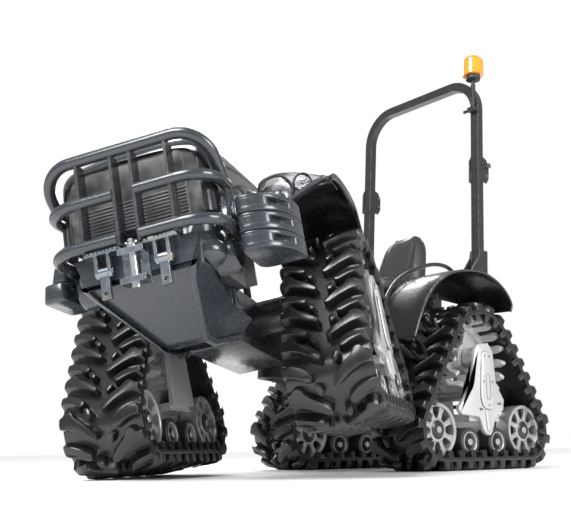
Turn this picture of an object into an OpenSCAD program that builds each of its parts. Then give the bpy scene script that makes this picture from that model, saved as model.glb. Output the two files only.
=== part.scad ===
// Compact articulated tractor on four rubber track units.
// The rear half stands level on the ground. The front half is steered to full left lock
// and rolled about the centre joint, with its left side up. +Z is up and the rear half faces -Y.

/* [Pose at rest] */
// Steering angle of the front half, to the left
steer_deg = 34; // [30:0.5:36]
// Roll of the front half, left side up
roll_deg = 12.8; // [8:0.2:15]
// Nose-up tilt of the rear chassis about its axle
pitch_deg = 4.4; // [2:0.2:6]
// Pitch of the front left track unit against its chassis
front_left_pitch_deg = 3.2; // [0:0.2:8]
// Pitch of the front right track unit against its chassis
front_right_pitch_deg = 3.7; // [0:0.1:8]

/* [Layout] */
// Rear axle to the centre joint
rear_to_joint = 867; // [850:1:900]
// Centre joint to the front axle
joint_to_front = 576; // [560:1:620]
// Height of the centre joint
joint_z = 535; // [520:1:550]
// Height of both axles
axle_z = 568; // [560:1:580]
// Centre of a track belt to the middle of the tractor
half_gauge = 476; // [470:1:490]

/* [Track belt] */
// Width of the belt
belt_w = 350; // [330:1:360]
// Number of links in the belt
belt_links = 32; // [28:2:36]
// Thickness of the carcass
belt_t = 22; // [18:1:26]
// Height of the ground lugs
lug_h = 44; // [30:1:50]
// Height of the guide lugs inside the belt
guide_h = 34; // [20:1:40]
// Width of one row of guide lugs
guide_w = 28; // [20:1:32]

/* [Track wheels] */
// Pitch radius of the drive sprocket
sprocket_r = 233; // [220:1:240]
// Teeth of the drive sprocket
sprocket_teeth = 17; // [15:1:19]
// Radius of an idler wheel
idler_r = 131; // [120:1:135]
// Idler axle ahead of and behind the drive axle
idler_y = 342; // [335:1:350]
// Radius of a ground roller
roller_r = 71.5; // [60:0.5:75]
// Roller axle ahead of and behind the drive axle
roller_y = 110; // [105:1:115]
// Inner face of a wheel from the belt's middle
wheel_in = 52; // [48:1:70]
// Outer face of a wheel from the belt's middle
wheel_out = 138; // [120:1:140]
// Radius of the drive shaft outside the sprocket
stub_r = 30; // [25:1:34]
// Radius of the drive shaft between sprocket and chassis
drive_r = 45; // [38:1:50]
// Radius of an idler axle
idler_axle_r = 20; // [14:1:22]
// Radius of a roller axle
roller_axle_r = 16; // [12:1:18]

/* [Bull bar] */
// Diameter of its tubes
bar_tube = 43; // [38:1:48]
// Front plane of the tubes ahead of the front axle
bar_y = -1078; // [-1100:1:-1060]
// Height of the lowest tube
bar_z = 671; // [660:1:690]
// Height step between the tubes
bar_step = 165; // [150:1:170]
// Half width between the side runs
bar_half_w = 321; // [300:1:340]
// Bend radius at the corners
bar_bend = 122; // [100:1:130]

/* [Roll bar] */
// Width of the square tube, left to right
rops_w = 52; // [45:1:60]
// Depth of the square tube, front to back
rops_d = 46; // [40:1:55]
// Half distance between the legs
rops_x = 437; // [425:1:445]
// Place of the legs behind the rear axle
rops_y = 216; // [205:1:225]
// Height of the folding pins
rops_hinge_z = 1690; // [1600:1:1720]
// Height of the hoop's middle line
rops_top_z = 2272; // [2150:1:2320]
// Corner radius of the hoop's middle line
rops_corner = 190; // [150:1:230]

/* [Seat and wheel] */
// Width of the seat cushion
seat_w = 420; // [380:5:460]
// Depth of the seat cushion
seat_d = 380; // [340:5:400]
// Top of the seat cushion
seat_z = 1030; // [1000:5:1060]
// Radius of the steering wheel
wheel_r = 180; // [160:1:200]

/* [Hood] */
// Half width of the hood
hood_half_w = 294; // [280:1:298]
// Thickness of hood and fender sheet
sheet_t = 6; // [4:1:8]

/* [Hidden] */
$fn = 48;
run_fit = 0.05;          // radial clearance of a shaft in its bore
touch_gap = 0.8;         // clearance between a wheel and the belt
seat_gap = 0.2;          // clearance under a piece that sits on another
side_gap = 10;           // clearance between a wheel and a frame beside it

// place of the frame's origin under the middle of the whole tractor's box
origin_x = 268.6;
origin_y = -850.4;

STEEL = "#8f9296";
DARK = "#2b2d30";
PAINT = "#4a4f58";
BLACK = "#141416";
RUBBER = "#1c1c1d";
CAST = "#c9cbcc";

CORNERS = ["rear_left", "rear_right", "front_left", "front_right"];
TRACK_NODES = ["belt", "frame", "sprocket", "front_idler", "rear_idler", "front_roller", "rear_roller"];
OTHER_NODES = [
    "rear_chassis", "rear_fenders", "operator_floor", "console", "steering_wheel", "seat_base",
    "seat_cushion", "seat_back", "rops_base", "rops_hoop", "rops_pins", "beacon_stem", "beacon_lens",
    "lower_links", "top_link", "pto_shaft", "lift_lever", "brake_pedals", "centre_yoke",
    "front_chassis", "belly_skid", "engine", "hood", "grille", "front_fender_left",
    "front_fender_right", "headlamps", "bull_bar", "front_weights", "tow_brackets", "clevis_links",
    "tow_pin"
];

// ---- the belt's path: half of the loop, from the top of the sprocket forwards and down ----
pitch_t = belt_t / 2;
idler_path_r = idler_r + touch_gap + pitch_t;
idler_z = lug_h + belt_t + touch_gap + idler_r;
roller_z = lug_h + belt_t + touch_gap + roller_r;
run_dy = idler_y;
run_dz = axle_z - idler_z;
run_d = norm([run_dy, run_dz]);
run_normal = atan2(run_dz, run_dy) + acos((idler_path_r - sprocket_r) / run_d);
wrap_len = sprocket_r * (run_normal - 90) * PI / 180;
run_len = sqrt(run_d * run_d - pow(sprocket_r - idler_path_r, 2));
idler_len = idler_path_r * (270 - run_normal) * PI / 180;
half_len = wrap_len + run_len + idler_len + idler_y;
link_pitch = 2 * half_len / belt_links;

function outward(a) = [cos(a), sin(a)];
function forward(a) = [-sin(a), cos(a)];

// angle of the outward normal and the point at distance s along the front half
function path_normal(s) =
    s < wrap_len ? 90 + s / sprocket_r * 180 / PI :
    s < wrap_len + run_len ? run_normal :
    s < wrap_len + run_len + idler_len
        ? run_normal + (s - wrap_len - run_len) / idler_path_r * 180 / PI : 270;
function path_point(s) =
    s < wrap_len ? [0, axle_z] + sprocket_r * outward(path_normal(s)) :
    s < wrap_len + run_len
        ? [0, axle_z] + sprocket_r * outward(run_normal) + (s - wrap_len) * forward(run_normal) :
    s < wrap_len + run_len + idler_len
        ? [-idler_y, idler_z] + idler_path_r * outward(path_normal(s)) :
    [-idler_y + s - (half_len - idler_y), idler_z - idler_path_r];

// point of the whole loop at distance s and height h outside the middle of the carcass
function front_half(s, h) = path_point(s) + h * outward(path_normal(s));
function mirrored(p) = [-p[0], p[1]];
function on_loop(s, h) =
    s <= half_len ? front_half(s, h) : mirrored(front_half(2 * half_len - s, h));

// outline of the loop, with a bar from share a to share b of each link that is rise high
function barred_outline(h, rise, a, b) = [
    for (i = [0 : belt_links - 1]) each [
        on_loop((i + a) * link_pitch, h),
        on_loop((i + a + 0.04) * link_pitch, h + rise),
        on_loop((i + b - 0.04) * link_pitch, h + rise),
        on_loop((i + b) * link_pitch, h)
    ]
];
// whether the loop bends between two distances
function along_loop(s) = s <= half_len ? s : 2 * half_len - s;
function bends(s0, s1) = abs(path_normal(along_loop(s0)) - path_normal(along_loop(s1))) > 0.01;
function plain_outline(h) = [
    for (i = [0 : 4 * belt_links - 1])
        let (s = (i + 0.5) * link_pitch / 4)
        if (bends(s - link_pitch / 3, s) || bends(s, s + link_pitch / 3)) on_loop(s, h)
];

// ---- frames of reference ----
module in_row() translate([-origin_x, -origin_y, 0]) children();

module about_axle(a) translate([0, 0, axle_z]) rotate([a, 0, 0]) translate([0, 0, -axle_z]) children();

module in_rear() in_row() about_axle(-pitch_deg) children();

// steered with the front half, but not rolled; its own origin is the centre joint
module in_steer() in_rear() translate([0, -rear_to_joint, joint_z]) rotate([0, 0, steer_deg]) children();

// the front half's own frame has its origin on the ground under the front axle
module in_front() in_steer() rotate([0, -roll_deg, 0]) translate([0, -joint_to_front, -joint_z]) children();

module in_track(corner) {
    if (corner == "rear_left") in_row() translate([half_gauge, 0, 0]) children();
    if (corner == "rear_right") in_row() mirror([1, 0, 0]) translate([half_gauge, 0, 0]) children();
    if (corner == "front_left")
        in_front() about_axle(front_left_pitch_deg) translate([half_gauge, 0, 0]) children();
    if (corner == "front_right")
        in_front() about_axle(front_right_pitch_deg) mirror([1, 0, 0]) translate([half_gauge, 0, 0])
            children();
}

// ---- helpers ----
// draws a (y, z) outline from x0 to x1
module across(x0, x1) translate([x0, 0, 0]) rotate([90, 0, 90]) linear_extrude(x1 - x0) children();
// draws an (x, z) outline from y0 to y1
module along(y0, y1) translate([0, y1, 0]) rotate([90, 0, 0]) linear_extrude(y1 - y0) children();
// round bar along x, y or z
module bar_x(x0, x1, r, y, z) translate([x0, y, z]) rotate([0, 90, 0]) cylinder(r = r, h = x1 - x0);
module bar_y(y0, y1, r, x, z) translate([x, y0, z]) rotate([-90, 0, 0]) cylinder(r = r, h = y1 - y0);
module bar_z(z0, z1, r, x, y) translate([x, y, z0]) cylinder(r = r, h = z1 - z0);
module box(a, b) translate(a) cube(b - a);
module both_sides() {
    children();
    mirror([1, 0, 0]) children();
}

// ---- track unit: x runs across the belt, outwards, from its middle ----
module belt_band(x0, x1, lug, guide) across(x0, x1) difference() {
    polygon(barred_outline(pitch_t, lug, 0.25, 0.75));
    if (guide > 0) polygon(barred_outline(-pitch_t, -guide, 0.3, 0.7));
    else polygon(plain_outline(-pitch_t));
}

module belt() color(RUBBER) {
    edge = belt_w / 2 - guide_w;
    belt_band(-edge, edge, lug_h, 0);
    both_sides() belt_band(edge, belt_w / 2, lug_h * 0.5, guide_h);
}

// where the axle housing ends, and how deep its bearing reaches
housing_end = half_gauge - belt_w / 2 - 12;
hub_bore_depth = 62;
frame_half_w = wheel_in - side_gap;
leg_in = belt_w / 2 - guide_w;
leg_t = 24;
leg_cover_t = 12;
boss_in = 70;

module frame_beam() across(-frame_half_w, frame_half_w) polygon([
    [-idler_y - 40, idler_z - 25], [-idler_y - 40, idler_z + 28], [-200, 278], [200, 278],
    [idler_y + 40, idler_z + 28], [idler_y + 40, idler_z - 25], [150, roller_z - 26],
    [-150, roller_z - 26]
]);

module outer_leg() {
    across(leg_in, leg_in + leg_t) polygon([
        [-70, 590], [-52, 628], [30, 640], [66, 600], [82, 430], [138, 350], [128, 300], [60, 262],
        [30, 190], [12, 172], [-12, 172], [-34, 190], [-60, 262], [-200, 272], [-225, 300], [-110, 420]
    ]);
    across(leg_in + leg_t, leg_in + leg_t + leg_cover_t) polygon([
        [-38, 560], [-20, 590], [20, 590], [38, 560], [48, 350], [30, 318], [-30, 318], [-48, 350]
    ]);
    box([frame_half_w - 2, -120, 240], [leg_in, 120, 276]);
    bar_x(boss_in, leg_in, stub_r + 26, 0, axle_z);
}

module inner_leg() {
    across(-leg_in - leg_t, -leg_in) polygon([
        [-80, 600], [0, 660], [80, 600], [105, 430], [120, 262], [-120, 262], [-105, 430]
    ]);
    box([-leg_in, -110, 240], [2 - frame_half_w, 110, 276]);
    bar_x(-leg_in, -boss_in, drive_r + 24, 0, axle_z);
}

module frame() color(CAST) difference() {
    union() {
        frame_beam();
        outer_leg();
        inner_leg();
    }
    bar_x(boss_in - 1, leg_in + leg_t - 4, stub_r + run_fit, 0, axle_z);
    bar_x(-leg_in - leg_t - 1, -boss_in + 1, drive_r + run_fit, 0, axle_z);
    for (y = [-idler_y, idler_y])
        bar_x(-frame_half_w - 1, frame_half_w + 1, idler_axle_r + run_fit, y, idler_z);
    for (y = [-roller_y, roller_y])
        bar_x(-frame_half_w - 1, frame_half_w + 1, roller_axle_r + run_fit, y, roller_z);
}

tooth_out = sprocket_r - pitch_t - 4;
tooth_in = tooth_out - 26;
rim_in = tooth_in - 34;
hub_r = 84;
hub_w = boss_in - side_gap / 2;

module sprocket_tooth() translate([0, 0, tooth_in - 6]) linear_extrude(tooth_out - tooth_in + 6)
    polygon([
        [-wheel_out, -8], [-wheel_out, 8], [-wheel_out + 30, 20], [wheel_out - 30, 20],
        [wheel_out, 8], [wheel_out, -8], [wheel_out - 30, -20], [-wheel_out + 30, -20]
    ]);

module sprocket() color(CAST) translate([0, 0, axle_z]) {
    difference() {
        bar_x(-14, 14, tooth_in + 2, 0, 0);
        for (i = [0 : 4]) rotate([i * 72, 0, 0]) bar_x(-15, 15, 36, 0, (hub_r + rim_in) / 2);
    }
    difference() {
        bar_x(-38, 38, tooth_in + 2, 0, 0);
        bar_x(-39, 39, rim_in, 0, 0);
    }
    bar_x(-hub_w, hub_w, hub_r, 0, 0);
    bar_x(hub_w, leg_in + leg_t - 5, stub_r, 0, 0);
    bar_x(housing_end - hub_bore_depth + 4 - half_gauge, -hub_w, drive_r, 0, 0);
    for (i = [0 : sprocket_teeth - 1]) rotate([(i + 0.5) * 360 / sprocket_teeth, 0, 0]) sprocket_tooth();
}

// a pair of wheels on one axle
module wheel_pair(r, rim, hub, axle, spokes) {
    bar_x(-wheel_out - 4, wheel_out + 4, axle, 0, 0);
    both_sides() difference() {
        bar_x(wheel_in, wheel_out, r, 0, 0);
        difference() {
            bar_x(wheel_out - 22, wheel_out + 1, r - rim, 0, 0);
            bar_x(wheel_out - 23, wheel_out + 2, hub, 0, 0);
        }
        difference() {
            bar_x(wheel_in - 1, wheel_in + 30, r - rim, 0, 0);
            bar_x(wheel_in - 2, wheel_in + 31, hub, 0, 0);
        }
        if (spokes > 0) for (i = [0 : spokes - 1]) rotate([i * 360 / spokes, 0, 0])
            translate([wheel_in, 0, 0]) rotate([90, 0, 90]) linear_extrude(wheel_out - wheel_in)
                polygon([[-13, hub + 8], [-26, r - rim - 6], [26, r - rim - 6], [13, hub + 8]]);
    }
}

module idler(y) color(STEEL) translate([0, y, idler_z]) wheel_pair(idler_r, 18, 52, idler_axle_r, 8);
module roller(y) color(DARK) translate([0, y, roller_z]) wheel_pair(roller_r, 16, 26, roller_axle_r, 0);

// ---- rear half ----
ear_gap = 95;
ear_t = 45;
spine_top = joint_z + ear_gap + ear_t;
steer_pin_r = 25;
roll_shaft_r = 45;
link_pin_r = 14;
link_x = 260;
link_y = 265;
link_z = 430;
ball_r = 14;

module axle_housing() {
    bar_x(-housing_end, housing_end, drive_r + 34, 0, axle_z);
    both_sides() bar_x(housing_end - 26, housing_end, drive_r + 56, 0, axle_z);
}
module axle_bores() both_sides()
    bar_x(housing_end - hub_bore_depth, housing_end + 1, drive_r + run_fit, 0, axle_z);

module rear_chassis() color(DARK) difference() {
    union() {
        axle_housing();
        box([-150, -210, 400], [150, 230, 740]);
        across(-105, 105) polygon([
            [-200, 400], [-200, spine_top], [-rear_to_joint + 75, spine_top],
            [-rear_to_joint + 75, joint_z - ear_gap - ear_t]
        ]);
        for (z = [joint_z + ear_gap, joint_z - ear_gap - ear_t]) {
            bar_z(z, z + ear_t, 80, 0, -rear_to_joint);
            box([-80, -rear_to_joint, z], [80, -rear_to_joint + 100, z + ear_t]);
        }
        // lift housing with the rock shaft's bosses, and the eyes of the lower links
        box([-120, 200, 660], [120, 330, 800]);
        both_sides() box([link_x - 44, -40, link_z - 34], [link_x - 16, link_y + 34, link_z + 34]);
        both_sides() box([140, -40, link_z - 34], [link_x - 16, 40, link_z + 100]);
        for (x = [-34, 14]) box([x, 320, 690], [x + 20, 384, 750]);
        // pillars under the roll bar
        both_sides() box([105, 150, 730], [165, 225, 930]);
    }
    axle_bores();
    bar_z(joint_z - ear_gap - ear_t - 1, joint_z + ear_gap + ear_t + 1, steer_pin_r + run_fit, 0,
        -rear_to_joint);
    bar_x(-link_x, link_x, link_pin_r + run_fit, link_y, link_z);
    bar_x(-40, 40, link_pin_r + run_fit, 358, 720);
    bar_y(150, 400, 26 + run_fit, 0, 520);
    // clear space for the yoke between the ears
    bar_z(joint_z - ear_gap, joint_z + ear_gap, 96, 0, -rear_to_joint);
}

module centre_yoke() color(PAINT) {
    bar_z(-ear_gap + 0.5, ear_gap - 0.5, 74, 0, 0);
    bar_z(-ear_gap - ear_t + 4, ear_gap + ear_t - 4, steer_pin_r, 0, 0);
    bar_y(-150, -60, 66, 0, 0);
    bar_y(-300, -150, roll_shaft_r, 0, 0);
}

module lower_links() color(DARK) {
    both_sides() difference() {
        union() {
            bar_x(link_x - 14, link_x + 14, 36, link_y, link_z);
            across(link_x - 12, link_x + 12) polygon([
                [link_y, link_z + 26], [link_y + 420, link_z - 40], [link_y + 420, link_z - 84],
                [link_y, link_z - 26]
            ]);
            bar_x(link_x - 22, link_x + 22, 38, link_y + 430, link_z - 62);
        }
        bar_x(link_x - 30, link_x + 30, ball_r, link_y + 430, link_z - 62);
    }
    both_sides() bar_x(link_x - 60, link_x + 14, link_pin_r, link_y, link_z);
    bar_x(12 - link_x, link_x - 12, 13, link_y + 250, link_z - 42);
}

module top_link() color(STEEL) difference() {
    union() {
        bar_x(-13.5, 13.5, 26, 358, 720);
        bar_y(380, 560, 13, 0, 720);
        bar_y(470, 640, 24, 0, 720);
        bar_x(-18, 18, 32, 660, 720);
        bar_x(-34, 34, link_pin_r, 358, 720);
    }
    bar_x(-40, 40, ball_r, 660, 720);
}

module pto_shaft() color(STEEL) {
    bar_y(160, 330, 26, 0, 520);
    bar_y(330, 400, 17.5, 0, 520);
}

fender_line = [
    [-530, 600], [-468, 760], [-400, 862], [-320, 935], [-230, 985], [-120, 1015],
    [0, 1026], [90, 1010], [170, 976], [228, 930], [254, 888], [244, 850]
];
function inset(line, d, cy, cz) = [
    for (p = line) p + d * [cy - p[0], cz - p[1]] / norm([cy - p[0], cz - p[1]])
];
function backwards(line) = [for (i = [len(line) - 1 : -1 : 0]) line[i]];
fender_in_x = half_gauge - belt_w / 2 + 75;
fender_out_x = half_gauge + belt_w / 2 - 8;

lever_x = fender_in_x - 34;
lever_y = -70;
lever_z = 960;
lever_pin_r = 8;
module rear_fender() color(BLACK) {
    across(fender_in_x, fender_out_x)
        polygon(concat(fender_line, backwards(inset(fender_line, sheet_t, -80, 600))));
    // inner wall down to the platform and the axle housing
    across(fender_in_x - sheet_t, fender_in_x + sheet_t)
        polygon(concat([for (p = fender_line) if (p[0] > -460) p], [[120, 900], [-300, 900]]));
    // fender stays on the chassis
    box([132, -60, 740 + seat_gap], [150, -30, 830]);
    box([132, -60, 800], [280, -30, 830]);
    box([255, -60, 800], [280, -30, 935]);
    box([255, -60, 905], [fender_in_x, -30, 935]);
}
// bracket of the lift lever on the right fender
module lever_bracket() color(BLACK) mirror([1, 0, 0]) difference() {
    box([lever_x - 14, lever_y - 20, lever_z - 40], [fender_in_x - sheet_t, lever_y + 20, lever_z + 12]);
    box([lever_x - 6, lever_y - 21, lever_z - 14], [lever_x + 6, lever_y + 21, lever_z + 13]);
    bar_x(lever_x - 15, lever_x + 15, lever_pin_r + run_fit, lever_y, lever_z);
}
module rear_fenders() {
    both_sides() rear_fender();
    lever_bracket();
}
module lift_lever() color(BLACK) mirror([1, 0, 0]) {
    bar_x(lever_x - 18, lever_x + 14, lever_pin_r, lever_y, lever_z);
    bar_x(lever_x - 5.6, lever_x + 5.6, 12, lever_y, lever_z);
    bar_z(lever_z, 1100, 5.5, lever_x, lever_y);
    translate([lever_x, lever_y, 1110]) sphere(r = 17);
}

floor_z = 700;
module operator_floor() color(DARK) difference() {
    union() {
        box([-245, -720, floor_z], [245, -215, floor_z + sheet_t]);
        both_sides() box([60, -700, spine_top + seat_gap], [100, -420, floor_z]);
        both_sides() box([239, -720, floor_z - 50], [245, -215, floor_z]);
    }
    box([-60, -740, floor_z - 60], [60, -600, floor_z + 10]);
}

column_y = -640;
pedal_pin_r = 9;
pedal_z = floor_z + 60;
module console() color(BLACK) {
    difference() {
        across(-110, 110) polygon([
            [column_y - 75, floor_z + sheet_t + seat_gap], [column_y - 75, 960], [column_y - 30, 1010],
            [column_y + 60, 960], [column_y + 40, floor_z + sheet_t + seat_gap]
        ]);
        bar_x(-111, -70, pedal_pin_r + run_fit, column_y, pedal_z);
    }
    in_column() bar_z(-135, -12, 22, 0, 0);
}

column_tilt = 28;
module in_column() translate([0, column_y + 68, 1055]) rotate([-column_tilt, 0, 0]) children();

module steering_wheel() color(BLACK) in_column() {
    rotate_extrude() translate([wheel_r, 0]) circle(r = 13);
    difference() {
        bar_z(-22, 12, 38, 0, 0);
        bar_z(-23, -11, 22 + run_fit, 0, 0);
    }
    for (a = [90, 210, 330]) rotate([0, 0, a]) box([30, -11, -7], [wheel_r - 6, 11, 5]);
}

module seat_base() color(DARK) {
    box([-130, -190, 740 + seat_gap], [130, 90, 790]);
    box([-110, -170, 790], [110, 70, 880]);
    box([-150, -210, 880], [150, 120, 900]);
}
seat_front = -275;
module seat_cushion() color(BLACK) union() {
    box([-180, seat_front + 30, 900 + seat_gap], [180, seat_front + seat_d - 20, 945]);
    box([-seat_w / 2, seat_front, 945], [seat_w / 2, seat_front + seat_d, seat_z]);
}
module seat_back() color(BLACK) intersection() {
    across(-200, 200) polygon([
        [seat_front + seat_d - 110, seat_z + seat_gap], [seat_front + seat_d - 84, 1200],
        [seat_front + seat_d - 40, 1360], [seat_front + seat_d + 16, 1360], [seat_front + seat_d + 34, 1200],
        [seat_front + seat_d + 30, seat_z - 60], [seat_front + seat_d + seat_gap, seat_z - 60],
        [seat_front + seat_d + seat_gap, seat_z + seat_gap]
    ]);
    along(seat_front, seat_front + 2 * seat_d) polygon([
        [-198, seat_z - 61], [-198, 1180], [-140, 1340], [-110, 1361], [110, 1361], [140, 1340], [198, 1180],
        [198, seat_z - 61]
    ]);
}

// ---- roll bar ----
fold_y = rops_y + 42;
fold_z = rops_hinge_z + 36;
stow_z = fold_z - 58;
bracket_t = 8;
fold_pin_r = 9;
lock_pin_r = 7;
module rops_plate(z0, z1) both_sides()
    for (x = [rops_x - rops_w / 2 - bracket_t, rops_x + rops_w / 2]) across(x, x + bracket_t) polygon([
        [rops_y - rops_d / 2 - 10, z0], [rops_y - rops_d / 2 - 10, z1 - 30], [rops_y - rops_d / 2 + 6, z1],
        [fold_y, z1 - 20], [fold_y + 22, fold_z], [fold_y + 22, stow_z - 10], [fold_y + 4, z0]
    ]);

module rops_base() color(BLACK) difference() {
    union() {
        both_sides() box([rops_x - rops_w / 2, rops_y - rops_d / 2, 1060],
            [rops_x + rops_w / 2, rops_y + rops_d / 2, rops_hinge_z - 2]);
        rops_plate(rops_hinge_z - 66, rops_hinge_z + 96);
        // gussets on the cross beam
        both_sides() for (x = [rops_x - rops_w / 2 - 10, rops_x + rops_w / 2])
            across(x, x + 10) polygon([
                [rops_y - 110, 1058], [rops_y - 30, 1175], [rops_y - 22, 1215], [rops_y + 42, 1215],
                [rops_y + 42, 1058]
            ]);
        box([-rops_x - 40, rops_y - 60, 1030], [rops_x + 40, rops_y + 40, 1060]);
        both_sides() box([105, 160, 930], [165, 225, 1030]);
    }
    both_sides() bar_x(rops_x - 60, rops_x + 60, fold_pin_r + run_fit, fold_y, fold_z);
    both_sides() bar_x(rops_x - 60, rops_x + 60, lock_pin_r + run_fit, fold_y, stow_z);
    both_sides() bar_x(rops_x - 60, rops_x + 60, lock_pin_r + run_fit, rops_y, fold_z);
}

module rops_hoop() color(BLACK) {
    half_w = rops_w / 2 - 0.4;
    straight_x = rops_x - rops_corner;
    both_sides() {
        difference() {
            union() {
                box([rops_x - half_w, rops_y - rops_d / 2, rops_hinge_z],
                    [rops_x + half_w, rops_y + rops_d / 2, rops_top_z - rops_corner]);
                bar_x(rops_x - half_w, rops_x + half_w, 20, fold_y, fold_z);
                box([rops_x - half_w, rops_y, fold_z - 20], [rops_x + half_w, fold_y, fold_z + 20]);
            }
            bar_x(rops_x - 60, rops_x + 60, fold_pin_r + run_fit, fold_y, fold_z);
            bar_x(rops_x - 60, rops_x + 60, lock_pin_r + run_fit, rops_y, fold_z);
        }
        translate([straight_x, rops_y, rops_top_z - rops_corner]) rotate([90, 0, 0])
            rotate_extrude(angle = 90) translate([rops_corner - half_w, -rops_d / 2])
                square([2 * half_w, rops_d]);
    }
    box([-straight_x, rops_y - rops_d / 2, rops_top_z - half_w],
        [straight_x, rops_y + rops_d / 2, rops_top_z + half_w]);
}

// folding pins, and the lock pins in their stowed holes
module rops_pins() color(STEEL) both_sides() {
    bar_x(rops_x - 46, rops_x + rops_w / 2 + bracket_t, fold_pin_r, fold_y, fold_z);
    bar_x(rops_x + rops_w / 2 + bracket_t, rops_x + 56, 15, fold_y, fold_z);
    bar_x(rops_x - 50, rops_x + rops_w / 2 + bracket_t, lock_pin_r, fold_y, stow_z);
    bar_x(rops_x + rops_w / 2 + bracket_t, rops_x + 42, 12, fold_y, stow_z);
}

beacon_x = rops_x + 8;
beacon_y = rops_y - rops_d / 2 - 17;
beacon_r = 60;
beacon_h = 92;
beacon_cup_z = rops_top_z - 18;
module beacon_stem() color(DARK) {
    box([rops_x - 24, beacon_y - 16, 2055], [beacon_x + 18, rops_y - rops_d / 2 - seat_gap, 2080]);
    bar_x(rops_x - 60, rops_x - 24, 9, beacon_y, 2067);
    bar_z(2080, beacon_cup_z, 11, beacon_x, beacon_y);
    for (i = [0 : 8]) bar_z(2092 + i * 15, 2100 + i * 15, 14, beacon_x, beacon_y);
    bar_z(beacon_cup_z, beacon_cup_z + 26, 42, beacon_x, beacon_y);
}
module beacon_lens() color("orange") {
    lens_z = beacon_cup_z + 26 + seat_gap;
    bar_z(lens_z, lens_z + beacon_h, beacon_r, beacon_x, beacon_y);
    translate([beacon_x, beacon_y, lens_z + beacon_h]) cylinder(r1 = beacon_r, r2 = beacon_r - 18, h = 22);
}

module brake_pedals() color(DARK) {
    bar_x(-216, -74, pedal_pin_r, column_y, pedal_z);
    for (x = [-194, -146]) {
        bar_x(x - 10, x + 10, 14, column_y, pedal_z);
        box([x - 5, column_y, pedal_z - 4], [x + 5, column_y + 150, pedal_z + 4]);
        box([x - 21, column_y + 110, pedal_z + 2], [x + 21, column_y + 180, pedal_z + 12]);
    }
}

// ---- front half ----
// inner face of the side weights, clear of the bull bar's side runs
weight_x = bar_half_w + bar_tube / 2 + 4;
weight_z = 560;
chassis_top = 640;
nose_top = 690;
nose_half_w = 285;
boss_y = -835;
boss_z = 590;
module front_chassis() color(PAINT) difference() {
    union() {
        axle_housing();
        bar_y(joint_to_front - 290, joint_to_front - 155, 78, 0, joint_z);
        box([-120, -330, 400], [120, joint_to_front - 280, chassis_top]);
        box([-100, -1000, 545], [100, -300, chassis_top]);
        across(-nose_half_w, nose_half_w) polygon([
            [-985, nose_top], [-985, 600], [-950, 545], [-760, 545], [-760, nose_top]
        ]);
        both_sides() bar_x(nose_half_w - 20, bar_half_w - 9, 62, boss_y, boss_z);
        both_sides() box([nose_half_w - 5, -835, 625], [weight_x, -765, 680]);
    }
    axle_bores();
    both_sides() bar_x(nose_half_w - 10, bar_half_w, 40, boss_y, boss_z);
    bar_y(joint_to_front - 320, joint_to_front - 100, roll_shaft_r + run_fit, 0, joint_z);
}

// nose casting with its belly plate
module belly_skid() color(PAINT) difference() {
    intersection() {
        across(-240, 240) polygon([
            [-1040, 640], [-1040, 520], [-1000, 486], [-690, 342], [-600, 342], [-380, 400], [-380, 470],
            [-640, 480], [-940, 539], [-1001, 539], [-1001, 640]
        ]);
        along(-1050, -370) polygon([[-235, 651], [-235, 545], [-105, 341], [105, 341], [235, 545], [235, 651]]);
    }
    bar_y(-700, -500, 20, -60, 420);
}

hood_pin_y = -238;
hood_pin_z = 900;
hood_pin_r = 8;
module engine() color(STEEL) {
    box([-150, -750, chassis_top + seat_gap], [150, -260, 720]);
    box([-120, -740, 720], [120, -280, 900]);
    box([-100, -720, 900], [60, -300, 950]);
    for (i = [0 : 2]) bar_z(950, 966, 34, -20, -640 + 130 * i);
    bar_y(-790, -740, 60, 0, 810);
    bar_y(-820, -790, 100, 0, 810);
    bar_y(-700, -420, 42, 158, 860);
    box([-225, -950, 721], [225, -900, 960]);
    both_sides() box([150, -950, nose_top + seat_gap], [200, -500, 721]);
    both_sides() box([145, -745, 690 + seat_gap], [160, -500, 721]);
    // rear bulkhead with the hood's hinge pin
    box([-200, -268, chassis_top + seat_gap], [200, -260, 1036]);
    both_sides() box([60, -262, hood_pin_z - 16], [72, hood_pin_y + 12, hood_pin_z + 16]);
    bar_x(-130, 130, hood_pin_r, hood_pin_y, hood_pin_z);
}

function hood_front_view(d) = [
    [-hood_half_w + d, 722], [-hood_half_w + d, 1010], [-284 + d, 1062 - d], [-248, 1098 - d],
    [-120, 1122 - d], [120, 1122 - d], [248, 1098 - d], [284 - d, 1062 - d], [hood_half_w - d, 1010],
    [hood_half_w - d, 722]
];
function hood_side_view(d) = [
    [-985 + d, 720], [-1000 + d, 830], [-992 + d, 965], [-968 + d, 1030], [-930 + d, 1062 - d],
    [-700, 1092 - d], [-386, 1117 - d], [-225, 1126 - d], [-225, 720]
];
function hood_plan(d) = [
    [-hood_half_w + d, -200], [-hood_half_w + d, -940], [-280 + d, -978 + d], [-250 + d, -1004 + d],
    [250 - d, -1004 + d], [280 - d, -978 + d], [hood_half_w - d, -940], [hood_half_w - d, -200]
];
module hood() color(DARK) {
    hood_shell();
    both_sides() difference() {
        across(90, 102) polygon([
            [hood_pin_y - 14, hood_pin_z - 14], [hood_pin_y - 14, 1114], [hood_pin_y + 12, 1116],
            [hood_pin_y + 12, hood_pin_z - 14]
        ]);
        bar_x(89, 103, hood_pin_r + run_fit, hood_pin_y, hood_pin_z);
    }
}
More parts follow.
